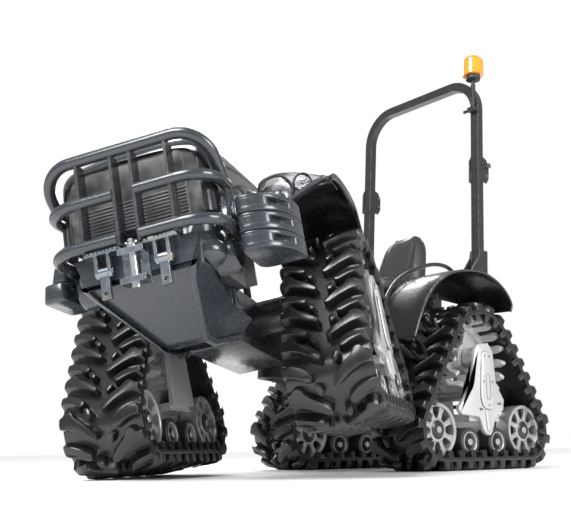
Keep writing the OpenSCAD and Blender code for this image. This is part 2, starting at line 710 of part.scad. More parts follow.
module hood_shell() difference() {
    intersection() {
        along(-1040, -220) polygon(hood_front_view(0));
        across(-320, 320) polygon(hood_side_view(0));
        translate([0, 0, 700]) linear_extrude(500) polygon(hood_plan(0));
    }
    intersection() {
        along(-1040, -200) polygon(concat([[-hood_half_w + sheet_t, 600]], hood_front_view(sheet_t),
            [[hood_half_w - sheet_t, 600]]));
        across(-320, 320) polygon(concat([[-985 + sheet_t, 600]], hood_side_view(sheet_t), [[-180, 1116],
            [-180, 600]]));
        translate([0, 0, 590]) linear_extrude(600) polygon(hood_plan(sheet_t));
    }
    along(-1060, -960) polygon(grille_line);
}
grille_line = [[-240, 700], [-240, 900], [-180, 955], [180, 955], [240, 900], [240, 700]];

module grille() color(STEEL) {
    along(-992, -986) polygon(grille_line);
    for (z = [730 : 20 : 790]) box([-200, -997, z], [200, -991, z + 8]);
}

front_fender_line = [
    [-405, 868], [-412, 930], [-400, 985], [-350, 1022], [-240, 1040], [-100, 1042], [20, 1020],
    [110, 975], [170, 915], [200, 860]
];
front_fender_in = hood_half_w + 12;
front_fender_mid = half_gauge + 40;
front_fender_out = half_gauge + belt_w / 2 - 30;
function lowered(line, d) = [for (p = line) [p[0] * (1 - d / 900), p[1] - d]];
module fender_strip(x0, x1, line) across(x0, x1)
    polygon(concat(line, backwards(inset(line, sheet_t, -80, 600))));
module front_fender() color(BLACK) {
    fender_strip(front_fender_in, front_fender_mid, front_fender_line);
    fender_strip(front_fender_mid - 2, front_fender_out - 50, lowered(front_fender_line, 5));
    fender_strip(front_fender_out - 52, front_fender_out - 24, lowered(front_fender_line, 10));
    fender_strip(front_fender_out - 26, front_fender_out, lowered(front_fender_line, 15));
    // inner wall above the belt
    across(front_fender_in, front_fender_in + sheet_t)
        polygon(concat(front_fender_line, [[150, 880], [-380, 880]]));
    // lamp face
    along(-412, -404) polygon([
        [front_fender_in, 900], [front_fender_in, 1000], [400, 1014], [560, 1010], [600, 985],
        [606, 950], [540, 938], [460, 915], [400, 890]
    ]);
    // stays from the chassis
    box([100, -150, 905], [front_fender_in + 1, -100, 925]);
    box([100, -150, chassis_top + seat_gap], [120, -100, 925]);
}

module headlamps() color("white") both_sides() {
    bar_y(-432, -412 - seat_gap, 70, 388, 958);
    bar_y(-430, -412 - seat_gap, 36, 500, 978);
}

// one end of a bull bar tube: a quarter bend, then a straight run of the given length
module bar_corner(z, run, drop) translate([bar_half_w - bar_bend, bar_y, z]) rotate([-drop, 0, 0])
    translate([0, bar_bend, 0]) {
        rotate([0, 0, -90]) rotate_extrude(angle = 90) translate([bar_bend, 0]) circle(d = bar_tube);
        bar_y(0, run, bar_tube / 2, bar_bend, 0);
    }

slot_half = 33;
top_drop = 45;
upright_t = 10;
module bull_bar() color(PAINT) {
    straight = bar_half_w - bar_bend;
    for (i = [0, 1]) both_sides() {
        bar_x(slot_half + upright_t, straight, bar_tube / 2, bar_y, bar_z + i * bar_step);
        bar_corner(bar_z + i * bar_step, 60, 0);
    }
    bar_x(-straight, straight, bar_tube / 2 + 0.4, bar_y, bar_z + 2 * bar_step);
    both_sides() bar_corner(bar_z + 2 * bar_step, 90, top_drop);
    both_sides() for (x = [slot_half, 168])
        box([x, bar_y - 8, bar_z - 28], [x + upright_t, bar_y + 56, bar_z + 2 * bar_step - 8]);
    // side plates and their feet on the nose casting
    both_sides() box([bar_half_w - 6, bar_y + 152, bar_z - 30], [bar_half_w + 6, bar_y + 232, bar_z + 190]);
    both_sides() box([230, bar_y + 190, nose_top + seat_gap], [bar_half_w - 6, bar_y + 225, nose_top + 14]);
}

// left weights: three plates with a hand hold in each outer rear corner; right weights: two blocks
weight_t = 66;
weight_gap = 3;
weight_y = -690;
module weight_plate() difference() {
    linear_extrude(weight_t) polygon([
        [0, 0], [0, -235], [14, -258], [34, -261], [80, -236], [132, -182], [168, -108], [182, -30], [182, 0]
    ]);
    across(150, 200) polygon([[-96, 52], [-40, 44], [-22, 20], [-58, 20]]);
}
module right_block(z, bottom_w, top_w, height, y0) along(y0, weight_y - 18) polygon([
    [-weight_x - seat_gap, z], [-weight_x - bottom_w, z], [-weight_x - top_w, z + height],
    [-weight_x - seat_gap, z + height]
]);
module front_weights() color(PAINT) {
    for (i = [0 : 2]) translate([weight_x + seat_gap, weight_y, weight_z + i * (weight_t + weight_gap)]) {
        weight_plate();
        if (i < 2) translate([60, -90, weight_t]) cylinder(r = 40, h = weight_gap);
    }
    right_block(weight_z, 92, 84, 72, -922);
    right_block(weight_z + 75, 66, 50, 66, -902);
    box([-weight_x - 40, -850, weight_z + 72], [-weight_x - 10, -780, weight_z + 75]);
}

// ---- towing gear under the bull bar ----
plate_y = -1040 - seat_gap;
link_eye_y = -1062;
link_eye_z = 568;
link_eye_r = 11;
clevis_x = 112;
jaw_lo = 500;
jaw_hi = 606;
jaw_t = 22;
tow_pin_r = 15;
tow_pin_y = -1066;
module tow_brackets() color(STEEL) {
    both_sides() {
        for (x = [clevis_x - 30, clevis_x + 18]) across(x, x + 12) polygon([
            [-1080, 628], [-1080, 562], [-1068, 548], [-1050, 552], [plate_y, 570], [plate_y, 628]
        ]);
        bar_x(clevis_x - 34, clevis_x + 34, link_eye_r, link_eye_y, link_eye_z);
        // serrated step strips
        box([clevis_x - 62, -1088, 628], [clevis_x + 62, plate_y, 636]);
        for (i = [0 : 7]) box([clevis_x - 60 + 15 * i, -1088, 636], [clevis_x - 52 + 15 * i, -1045, 641]);
    }
    difference() {
        union() {
            for (z = [jaw_lo, jaw_hi]) box([-48, -1090, z], [48, plate_y, z + jaw_t]);
            box([-50, -1046, jaw_lo], [50, plate_y, jaw_hi + 30]);
        }
        bar_z(jaw_lo - 1, jaw_hi + jaw_t + 1, tow_pin_r + run_fit, 0, tow_pin_y);
    }
}
module clevis_links() color(STEEL) both_sides() difference() {
    union() {
        box([clevis_x - 17, link_eye_y - 9, 470], [clevis_x + 17, link_eye_y + 9, link_eye_z]);
        bar_x(clevis_x - 17, clevis_x + 17, 19, link_eye_y, link_eye_z);
    }
    bar_x(clevis_x - 18, clevis_x + 18, link_eye_r + run_fit, link_eye_y, link_eye_z);
    bar_y(link_eye_y - 10, link_eye_y + 10, 9, clevis_x, 490);
}
module tow_pin() color(STEEL) {
    top = jaw_hi + jaw_t;
    bar_z(jaw_lo - 16, top + 32, tow_pin_r, 0, tow_pin_y);
    bar_z(top + 0.3, top + 14, 20, 0, tow_pin_y);
    bar_x(-22, 22, 4, tow_pin_y, top + 23);
}

for (c = CORNERS) {
    in_track(c) belt();
    in_track(c) frame();
    in_track(c) sprocket();
    in_track(c) idler(-idler_y);
    in_track(c) idler(idler_y);
    in_track(c) roller(-roller_y);
    in_track(c) roller(roller_y);
}
in_rear() rear_chassis();
in_rear() rear_fenders();
in_rear() operator_floor();
in_rear() console();
in_rear() steering_wheel();
in_rear() seat_base();
in_rear() seat_cushion();
in_rear() seat_back();
in_rear() rops_base();
in_rear() rops_hoop();
in_rear() rops_pins();
in_rear() beacon_stem();
in_rear() beacon_lens();
in_rear() lower_links();
in_rear() top_link();
in_rear() pto_shaft();
in_rear() lift_lever();
in_rear() brake_pedals();
in_steer() centre_yoke();
in_front() front_chassis();
in_front() belly_skid();
in_front() engine();
in_front() hood();
in_front() grille();
in_front() front_fender();  // front_fender_left
in_front() mirror([1, 0, 0]) front_fender();  // front_fender_right
in_front() headlamps();
in_front() bull_bar();
in_front() front_weights();
in_front() tow_brackets();
in_front() clevis_links();
in_front() tow_pin();
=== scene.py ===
import math

import bmesh
import bpy
import numpy as np
from bpy.props import FloatProperty, FloatVectorProperty, PointerProperty
from mathutils import Matrix


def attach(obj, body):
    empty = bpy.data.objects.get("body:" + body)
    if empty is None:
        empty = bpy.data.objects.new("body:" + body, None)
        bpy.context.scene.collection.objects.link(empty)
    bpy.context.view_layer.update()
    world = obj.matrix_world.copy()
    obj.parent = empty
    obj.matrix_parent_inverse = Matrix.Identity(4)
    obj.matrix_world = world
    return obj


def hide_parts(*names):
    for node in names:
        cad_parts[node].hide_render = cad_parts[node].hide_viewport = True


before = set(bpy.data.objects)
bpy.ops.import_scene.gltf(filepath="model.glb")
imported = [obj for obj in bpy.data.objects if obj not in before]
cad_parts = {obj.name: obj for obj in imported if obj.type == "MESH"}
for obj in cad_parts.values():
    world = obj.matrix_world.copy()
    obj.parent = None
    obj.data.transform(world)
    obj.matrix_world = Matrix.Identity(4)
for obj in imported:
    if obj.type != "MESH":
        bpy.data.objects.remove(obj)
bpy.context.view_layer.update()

bl_info = {
    "name": "Track Tractor",
    "version": (1, 0, 0),
    "blender": (4, 5, 0),
    "location": "View3D > Sidebar > Tractor",
    "description": "Builds the surfaces and finishes of an articulated track tractor",
    "category": "Add Mesh",
}

# ---- the tractor's own frames of reference, lengths in millimetres and angles in degrees ----
STEER_DEG = 34.0
ROLL_DEG = 12.8
PITCH_DEG = 4.4
AXLE_Z = 568.0
JOINT_Z = 535.0
REAR_TO_JOINT = 867.0
JOINT_TO_FRONT = 576.0
HALF_GAUGE = 476.0
ORIGIN = (268.6, -850.4)


def shift(x, y, z):
    """Matrix that moves by x, y and z."""
    m = np.eye(4)
    m[:3, 3] = (x, y, z)
    return m


def turn(axis, degrees):
    """Matrix that turns about one axis, by the right hand."""
    return np.array(Matrix.Rotation(math.radians(degrees), 4, axis.upper()))


def about_axle(degrees):
    """Matrix that turns about the line through an axle."""
    return shift(0, 0, AXLE_Z) @ turn("x", degrees) @ shift(0, 0, -AXLE_Z)


MIRROR = np.diag([-1.0, 1.0, 1.0, 1.0])
ROW = shift(-ORIGIN[0], -ORIGIN[1], 0)
REAR = ROW @ about_axle(-PITCH_DEG)
STEERED = REAR @ shift(0, -REAR_TO_JOINT, JOINT_Z) @ turn("z", STEER_DEG)
FRONT = STEERED @ turn("y", -ROLL_DEG) @ shift(0, -JOINT_TO_FRONT, -JOINT_Z)
TRACK = {
    "rear_left": ROW @ shift(HALF_GAUGE, 0, 0),
    "rear_right": ROW @ MIRROR @ shift(HALF_GAUGE, 0, 0),
    "front_left": FRONT @ about_axle(3.2) @ shift(HALF_GAUGE, 0, 0),
    "front_right": FRONT @ about_axle(3.7) @ MIRROR @ shift(HALF_GAUGE, 0, 0),
}


# ---- shapes worked out as whole arrays ----
class Shape:
    """Points in millimetres with four-sided faces and flat ends, gathered for one mesh."""

    def __init__(self):
        self.points = []
        self.quads = []
        self.ends = []
        self.count = 0

    def rings(self, sections, closed=False, open_ends=False):
        """Joins rings of points, shaped (rings, points, 3), with quads, and closes both ends."""
        k, m = sections.shape[:2]
        index = np.arange(k * m).reshape(k, m) + self.count
        if closed:
            index = np.vstack([index, index[:1]])
        a, b = index[:-1], np.roll(index, -1, axis=1)[:-1]
        d, c = index[1:], np.roll(index, -1, axis=1)[1:]
        self.quads.append(np.stack([a, b, c, d], axis=-1).reshape(-1, 4))
        if not closed and not open_ends:
            self.ends += [index[0][::-1].tolist(), index[-1].tolist()]
        self.points.append(sections.reshape(-1, 3))
        self.count += k * m
        return self

    def strips(self, sections):
        """Rings repeated many times, shaped (copies, rings, points, 3), each closed at both ends."""
        n, k, m = sections.shape[:3]
        index = np.arange(n * k * m).reshape(n, k, m) + self.count
        nxt = np.roll(index, -1, axis=2)
        quads = np.stack([index[:, :-1], nxt[:, :-1], nxt[:, 1:], index[:, 1:]], axis=-1)
        self.quads.append(quads.reshape(-1, 4))
        self.ends += index[:, 0, ::-1].tolist() + index[:, -1].tolist()
        self.points.append(sections.reshape(-1, 3))
        self.count += n * k * m
        return self

    def shell(self, grid, thickness):
        """Closes a grid of points, shaped (n, m, 3), into a sheet: the second face is the first
        moved back along its normals by the thickness."""
        along, over = np.gradient(grid, axis=0), np.gradient(grid, axis=1)
        normal = np.cross(along, over)
        normal /= np.linalg.norm(normal, axis=2, keepdims=True) + 1e-9
        back = grid - thickness * normal
        sections = np.concatenate([grid, back[:, ::-1]], axis=1)
        return self.rings(sections)

    def build(self, name, matrix, finish, body, replaces=(), slot=None, sharp=35, levels=0, bevel=0.0):
        """Makes the object: its mesh in metres in the shared frame, its finish, and what it rides on."""
        local = np.concatenate(self.points)
        placed = (np.c_[local, np.ones(len(local))] @ matrix.T)[:, :3] / 1000
        mesh = bpy.data.meshes.new(name)
        faces = np.concatenate(self.quads).tolist() + self.ends
        mesh.from_pydata(placed.tolist(), [], faces)
        kept = mesh.attributes.new("local", "FLOAT_VECTOR", "POINT")
        kept.data.foreach_set("vector", (local / 1000).astype(np.float32).ravel())
        work = bmesh.new()
        work.from_mesh(mesh)
        bmesh.ops.remove_doubles(work, verts=work.verts, dist=1e-6)
        bmesh.ops.recalc_face_normals(work, faces=work.faces)
        work.to_mesh(mesh)
        work.free()
        mesh.shade_smooth()
        mesh.set_sharp_from_angle(angle=math.radians(sharp))
        mesh.materials.append(finish)
        piece = bpy.data.objects.new(name, mesh)
        bpy.context.scene.collection.objects.link(piece)
        if bevel:
            rounding = piece.modifiers.new("Rounding", "BEVEL")
            rounding.width, rounding.segments, rounding.limit_method = bevel / 1000, 2, "ANGLE"
        if levels:
            smoothing = piece.modifiers.new("Smoothing", "SUBSURF")
            smoothing.levels = smoothing.render_levels = levels
        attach(piece, body)
        if replaces:
            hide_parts(*replaces)
        return piece


def rounded(points, radius, steps=4, closed=True):
    """Rounds the corners of an outline: each becomes a quadratic arc whose ends lie radius away from
    the corner, or half the side where that is shorter."""
    p = np.asarray(points, float)
    before, after = np.roll(p, 1, axis=0) - p, np.roll(p, -1, axis=0) - p
    reach_a = np.minimum(radius, np.linalg.norm(before, axis=1) * 0.49)[:, None]
    reach_b = np.minimum(radius, np.linalg.norm(after, axis=1) * 0.49)[:, None]
    a = p + before / (np.linalg.norm(before, axis=1)[:, None] + 1e-9) * reach_a
    b = p + after / (np.linalg.norm(after, axis=1)[:, None] + 1e-9) * reach_b
    t = np.linspace(0, 1, steps)[None, :, None]
    arcs = (1 - t) ** 2 * a[:, None] + 2 * t * (1 - t) * p[:, None] + t**2 * b[:, None]
    if not closed:
        middle = arcs[1:-1].reshape(-1, p.shape[1])
        return np.vstack([p[:1], middle, p[-1:]])
    return arcs.reshape(-1, p.shape[1])


def grown(outline, distance):
    """Moves an outline outwards along the mean of its two neighbouring side normals."""
    side = np.roll(outline, -1, axis=0) - np.roll(outline, 1, axis=0)
    normal = np.c_[side[:, 1], -side[:, 0]]
    normal /= np.linalg.norm(normal, axis=1)[:, None] + 1e-9
    area = np.sum(outline[:, 0] * np.roll(outline[:, 1], -1) - np.roll(outline[:, 0], -1) * outline[:, 1])
    return outline + normal * distance * np.sign(area)


def spread(axis, flat, height):
    """Puts outline points and a height on the three axes: the height goes along the named axis."""
    h = np.full(len(flat), float(height))
    order = {"x": (h, flat[:, 0], flat[:, 1]), "y": (flat[:, 0], h, flat[:, 1]), "z": (flat[:, 0], flat[:, 1], h)}
    return np.stack(order[axis], axis=1)


def plate(shape, axis, outline, low, high, edge=3.0, steps=3):
    """Adds a slab from low to high along an axis, its edges rounded by quarter circles."""
    t = np.linspace(0, np.pi / 2, steps)
    inset = np.r_[edge * (1 - np.sin(t)), edge * (1 - np.sin(t[::-1]))]
    place = np.r_[low + edge * (1 - np.cos(t)), high - edge * (1 - np.cos(t[::-1]))]
    shape.rings(np.stack([spread(axis, grown(outline, -i), h) for i, h in zip(inset, place)]))
    return shape


def lathe(shape, axis, centre, profile, steps=48, closed=False):
    """Turns a profile of (radius, place along the axis) pairs about the axis: each pair becomes a
    circle of points at radius times cosine and sine of the angle."""
    prof = np.asarray(profile, float)
    angle = np.linspace(0, 2 * np.pi, steps, endpoint=False)
    c, s = np.cos(angle)[None, :], np.sin(angle)[None, :]
    r, h = prof[:, :1], np.repeat(prof[:, 1:2], steps, axis=1)
    u, v = r * c, r * s
    order = {"x": (h, u, v), "y": (v, h, u), "z": (u, v, h)}
    shape.rings(np.stack(order[axis], axis=-1) + np.asarray(centre, float), closed=closed)
    return shape


def tube(shape, path, radius, sides=20, up=(0, 0, 1), flat=1.0):
    """Carries a circle along a path: at each point it stands square to the path's direction, turned
    so that its first axis is level against the up direction."""
    p = np.asarray(path, float)
    run = np.gradient(p, axis=0)
    run /= np.linalg.norm(run, axis=1)[:, None]
    side = np.cross(run, up)
    side /= np.linalg.norm(side, axis=1)[:, None] + 1e-9
    top = np.cross(side, run)
    a = np.linspace(0, 2 * np.pi, sides, endpoint=False)
    ring = np.cos(a)[None, :, None] * side[:, None] + flat * np.sin(a)[None, :, None] * top[:, None]
    shape.rings(p[:, None] + np.asarray(radius).reshape(-1, 1, 1) * ring)
    return shape


def curve_through(points, count):
    """Smooth line through points: cubic blend of each span with slopes taken from its neighbours."""
    p = np.asarray(points, float)
    slope = np.gradient(p, axis=0)
    s = np.linspace(0, len(p) - 1 - 1e-6, count)
    i = s.astype(int)
    t = (s - i)[:, None]
    a, b, m, n = p[i], p[i + 1], slope[i], slope[i + 1]
    return (
        (2 * t**3 - 3 * t**2 + 1) * a + (t**3 - 2 * t**2 + t) * m + (-2 * t**3 + 3 * t**2) * b + (t**3 - t**2) * n
    )


def box_outline(a0, a1, b0, b1, radius, steps=4):
    """Rectangle with rounded corners."""
    return rounded([[a0, b0], [a1, b0], [a1, b1], [a0, b1]], radius, steps)


# ---- finishes ----
class Value:
    """A socket of a material that adds Math nodes when it is reckoned with."""

    def __init__(self, graph, socket):
        self.graph = graph
        self.socket = socket

    def math(self, operation, other=None, first=False):
        """Adds one Math node; first puts the other value in front."""
        pair = [self] if other is None else ([other, self] if first else [self, other])
        made = self.graph.node("ShaderNodeMath", {"operation": operation}, dict(enumerate(pair)))
        return Value(self.graph, made.outputs[0])

    def __add__(self, other):
        return self.math("ADD", other)

    __radd__ = __add__

    def __sub__(self, other):
        return self.math("SUBTRACT", other)

    def __rsub__(self, other):
        return self.math("SUBTRACT", other, first=True)

    def __mul__(self, other):
        return self.math("MULTIPLY", other)

    __rmul__ = __mul__

    def __truediv__(self, other):
        return self.math("DIVIDE", other)

    def __pow__(self, other):
        return self.math("POWER", other)

    def step(self, low, high, to_low=0.0, to_high=1.0):
        """Smooth step of the value from low to high."""
        made = self.graph.node(
            "ShaderNodeMapRange",
            {"interpolation_type": "SMOOTHSTEP"},
            {"Value": self, "From Min": low, "From Max": high, "To Min": to_low, "To Max": to_high},
        )
        return Value(self.graph, made.outputs["Result"])


class Finish:
    """A material's nodes, built round one Principled BSDF."""

    def __init__(self, name):
        self.material = bpy.data.materials.new(name)
        self.material.use_nodes = True
        self.tree = self.material.node_tree
        self.tree.nodes.clear()
        self.shader = self.node("ShaderNodeBsdfPrincipled")
        output = self.node("ShaderNodeOutputMaterial")
        self.tree.links.new(self.shader.outputs[0], output.inputs["Surface"])
        self.where = Value(self, self.node("ShaderNodeTexCoord").outputs["Object"])

    def node(self, kind, settings=None, sockets=None):
        """Adds a node, sets its settings, then gives its sockets values or links."""
        made = self.tree.nodes.new(kind)
        for key, setting in (settings or {}).items():
            setattr(made, key, setting)
        for key, given in (sockets or {}).items():
            if isinstance(given, Value):
                self.tree.links.new(given.socket, made.inputs[key])
            else:
                made.inputs[key].default_value = given
        return made

    def own_place(self):
        """The piece's own coordinates, in metres in the frame it was drawn in."""
        return Value(self, self.node("ShaderNodeAttribute", {"attribute_name": "local"}).outputs["Vector"])

    def noise(self, scale, detail=3.0, roughness=0.5, place=None):
        """Noise from 0 to 1."""
        made = self.node(
            "ShaderNodeTexNoise", None,
            {"Vector": place or self.where, "Scale": scale, "Detail": detail, "Roughness": roughness},
        )
        return Value(self, made.outputs[0])

    def cells(self, scale, feature="F1", output="Distance", place=None):
        """Distance or colour of cells."""
        made = self.node(
            "ShaderNodeTexVoronoi", {"feature": feature}, {"Vector": place or self.where, "Scale": scale}
        )
        return Value(self, made.outputs[output])

    def parts(self, place):
        """The three numbers of a vector."""
        made = self.node("ShaderNodeSeparateXYZ", None, {0: place})
        return [Value(self, out) for out in made.outputs]

    def mix(self, share, a, b):
        """Colour between a and b."""
        made = self.node("ShaderNodeMix", {"data_type": "RGBA"}, {0: share})
        for key, colour in ((6, a), (7, b)):
            if isinstance(colour, Value):
                self.tree.links.new(colour.socket, made.inputs[key])
            else:
                made.inputs[key].default_value = (*colour, 1.0)
        return Value(self, made.outputs[2])

    def rounded_edges(self, radius):
        """Normal as if sharp edges were rounded, and how near an edge a point is, from 0 to 1."""
        soft = Value(self, self.node("ShaderNodeBevel", {"samples": 4}, {"Radius": radius}).outputs[0])
        true = Value(self, self.node("ShaderNodeNewGeometry").outputs["Normal"])
        dot = self.node("ShaderNodeVectorMath", {"operation": "DOT_PRODUCT"}, {0: soft, 1: true})
        return soft, (1 - Value(self, dot.outputs["Value"])).step(0.02, 0.25)

    def bump(self, height, strength, distance, normal=None):
        """Normal of a rough surface."""
        sockets = {"Height": height, "Strength": strength, "Distance": distance}
        if normal is not None:
            sockets["Normal"] = normal
        return Value(self, self.node("ShaderNodeBump", None, sockets).outputs[0])

    def surface(self, **sockets):
        """Feeds the shader's sockets; underscores stand for spaces."""
        for key, given in sockets.items():
            socket = self.shader.inputs[key.replace("_", " ")]
            if isinstance(given, Value):
                self.tree.links.new(given.socket, socket)
            else:
                socket.default_value = given
        return self.material


def painted(name, colour, rough=0.35, coat=0.3, edge=0.003, worn=(0.35, 0.36, 0.38), wear=0.35, grain=0.15,
            metallic=0.0, dust=0.25):
    """Sprayed paint on metal: slow changes of tone, fine orange peel, dust, and lighter worn edges."""
    f = Finish(name)
    slow, fine, spots = f.noise(3.5, 4), f.noise(260, 2), f.noise(38, 5, 0.65)
    normal, near = f.rounded_edges(edge)
    tone = f.mix(slow, [c * 0.78 for c in colour], [min(c * 1.2, 1) for c in colour])
    dirty = f.mix((spots.step(0.52, 0.75)) * dust, tone, (0.16, 0.15, 0.14))
    base = f.mix(near * spots.step(0.35, 0.6) * wear, dirty, worn)
    return f.surface(
        Base_Color=base, Metallic=metallic, Coat_Weight=coat, Coat_Roughness=0.12,
        Roughness=rough + (spots - 0.5) * 0.25 + (slow - 0.5) * 0.1,
        Normal=f.bump(fine * 0.6 + spots * 0.4, grain, 0.0006, normal),
    )


def cast(name, colour, rough=0.42, edge=0.005):
    """Silver sprayed casting: a pebbly skin, darker grime in random spots, and a painted highlight that lightens every
    edge.
    """
    f = Finish(name)
    grit, slow, spots = f.noise(420, 3), f.noise(5, 4), f.noise(55, 5, 0.6)
    normal, near = f.rounded_edges(edge)
    tone = f.mix(slow, [c * 0.8 for c in colour], [min(c * 1.1, 1) for c in colour])
    base = f.mix(spots.step(0.55, 0.8) * 0.35, tone, (0.2, 0.19, 0.18))
    # Painted highlight: the edge mask lightens every edge towards pale grey.
    base = f.mix(near * 0.4, base, (0.9, 0.9, 0.9))
    return f.surface(
        Base_Color=base, Metallic=0.55, Roughness=rough + (spots - 0.5) * 0.3, Coat_Weight=0.15,
        Normal=f.bump(grit + spots * 0.5, 0.25, 0.0008, normal),
    )


def rubber(name, colour=(0.006, 0.006, 0.0065), rough=0.3, edge=0.0025):
    """Moulded black rubber: fine pitting, lighter scuffs in random patches, a faint bloom, and a painted highlight
    that lightens every edge.
    """
    f = Finish(name)
    pits, slow, scuff = f.noise(300, 3), f.noise(6, 4), f.noise(28, 6, 0.7)
    normal, near = f.rounded_edges(edge)
    # Painted highlight: the edge mask, with the slow noise of the bloom, lightens the rubber towards its edges.
    base = f.mix(slow * 0.6 + near * 0.4, colour, [c * 2.6 for c in colour])
    base = f.mix(scuff.step(0.6, 0.85) * 0.2, base, (0.05, 0.05, 0.05))
    return f.surface(
        Base_Color=base, Roughness=rough + (scuff - 0.5) * 0.3, Coat_Weight=0.35, Coat_Roughness=0.2,
        Normal=f.bump(pits * 0.5 + scuff, 0.2, 0.001, normal),
    )


def plated(name, colour=(0.22, 0.25, 0.29), rough=0.28, tint=(0.42, 0.33, 0.16), edge=0.002):
    """Zinc or turned steel: metal with cloudy tints, fine scratches and a painted highlight that lightens every edge.
    """
    f = Finish(name)
    cloud, scratch = f.noise(26, 5, 0.6), f.noise(500, 2)
    normal, near = f.rounded_edges(edge)
    base = f.mix(cloud.step(0.5, 0.75) * 0.55, colour, tint)
    # Painted highlight: the edge mask lightens every edge towards near white.
    base = f.mix(near * 0.5, base, (0.85, 0.86, 0.88))
    return f.surface(
        Base_Color=base, Metallic=0.92, Roughness=rough + (cloud - 0.5) * 0.3,
        Normal=f.bump(scratch, 0.12, 0.0005, normal),
    )


def moulded(name, colour, rough=0.5, edge=0.002):
    """Textured black plastic."""
    f = Finish(name)
    leather, slow = f.cells(700), f.noise(8, 3)
    normal, near = f.rounded_edges(edge)
    base = f.mix(slow, [c * 0.8 for c in colour], [c * 1.4 for c in colour])
    return f.surface(
        Base_Color=base, Roughness=rough + (slow - 0.5) * 0.15,
        Normal=f.bump(leather, 0.25, 0.0004, normal),
    )


def vinyl(name):
    """Seat cover: leather grain of small cells, creases and a soft shine."""
    f = Finish(name)
    grain, crease, slow = f.cells(420, "DISTANCE_TO_EDGE"), f.noise(14, 5, 0.6), f.noise(5, 2)
    base = f.mix(slow, (0.012, 0.012, 0.013), (0.03, 0.03, 0.032))
    return f.surface(
        Base_Color=base, Roughness=0.42 + (crease - 0.5) * 0.2, Coat_Weight=0.1,
        Normal=f.bump(grain.step(0.0, 0.12) * 0.6 + crease, 0.35, 0.0012),
    )


def amber(name):
    """Ribbed amber lens with a painted reflection: bright patches where its reflector would show, painted into its
    colour and its faint glow, and deep orange at its ribs.
    """
    f = Finish(name)
    x, y, z = f.parts(f.own_place())
    ribs = (z * 900.0).math("SINE").step(-1.0, 1.0)
    patch = f.noise(26, 3, 0.6, place=f.own_place())
    # Painted reflection: bright noise patches, stronger on the ribs, stand for the reflector behind the lens and also
    # make it glow.
    painted_reflection = patch.step(0.38, 0.66) * (0.45 + ribs * 0.55)
    base = f.mix(painted_reflection, (0.55, 0.13, 0.003), (1.0, 0.5, 0.03))
    return f.surface(
        Base_Color=base, Roughness=0.12, Coat_Weight=1.0, Coat_Roughness=0.03,
        Emission_Color=f.mix(painted_reflection, (0.5, 0.09, 0.0), (1.0, 0.5, 0.06)), Emission_Strength=0.55,
        Normal=f.bump(ribs, 0.3, 0.001),
    )


def glass(name):
    """Clear lamp lens with faint moulded flutes."""
    f = Finish(name)
    x, y, z = f.parts(f.own_place())
    flutes = (x * 420.0).math("SINE")
    return f.surface(
        Base_Color=(0.97, 0.98, 1.0, 1), Roughness=0.03, Transmission_Weight=1.0, IOR=1.3,
        Normal=f.bump(flutes, 0.06, 0.001),
    )


def reflector(name):
    """Faceted mirror of a lamp: each facet's colour is painted bright at its middle and dark towards its edges, a
    painted reflection.
    """
    f = Finish(name)
    facet = f.cells(42, "F1", "Color", place=f.own_place())
    tone = f.cells(42, "F1", "Distance", place=f.own_place())
    # Painted reflection: colour from bright at each facet's middle to dark grey at its edges.
    base = f.mix(tone.step(0.1, 0.8), (0.95, 0.96, 1.0), (0.35, 0.37, 0.42))
    return f.surface(Base_Color=base, Metallic=1.0, Roughness=0.12, Normal=f.bump(facet, 0.6, 0.006))


def wire_mesh(name):
    """Woven grey mesh: round holes in rows every six millimetres, painted dark as the shade behind them, dusty in
    patches.
    """
    f = Finish(name)
    x, y, z = f.parts(f.own_place())
    rows = (x * 1050.0).math("SINE") * (z * 1050.0).math("SINE")
    # Painted shade: the holes are not cut; their places are painted near black, as the shade seen through them.
    painted_hole_shade = rows.step(0.05, 0.35)
    dust = f.noise(9, 5, 0.6, place=f.own_place())
    wire = f.mix(dust.step(0.3, 0.7), (0.04, 0.039, 0.037), (0.24, 0.235, 0.225))
    base = f.mix(painted_hole_shade * 0.9, wire, (0.012, 0.012, 0.012))
    return f.surface(
        Base_Color=base, Metallic=0.3, Roughness=0.55 + (dust - 0.5) * 0.3,
        Normal=f.bump(rows * -1.0, 0.5, 0.001),
    )


def floor_finish(name):
    """Pale studio floor with painted light: it glows, more and more from 2.6 m to 7 m out from the middle, so it fades
    into the white surround.
    """
    f = Finish(name)
    slow = f.noise(0.4, 2)
    away = f.node("ShaderNodeVectorMath", {"operation": "LENGTH"}, {0: f.where})
    # Painted light: the floor's own glow rises with distance from the middle.
    painted_far_glow = Value(f, away.outputs["Value"]).step(2.6, 7.0)
    return f.surface(
        Base_Color=f.mix(slow, (0.9, 0.9, 0.9), (0.93, 0.93, 0.93)), Roughness=0.6,
        Emission_Color=f.mix(painted_far_glow, (0.0, 0.0, 0.0), (1.0, 1.0, 1.0)), Emission_Strength=0.5,
    )


FINISH = {}


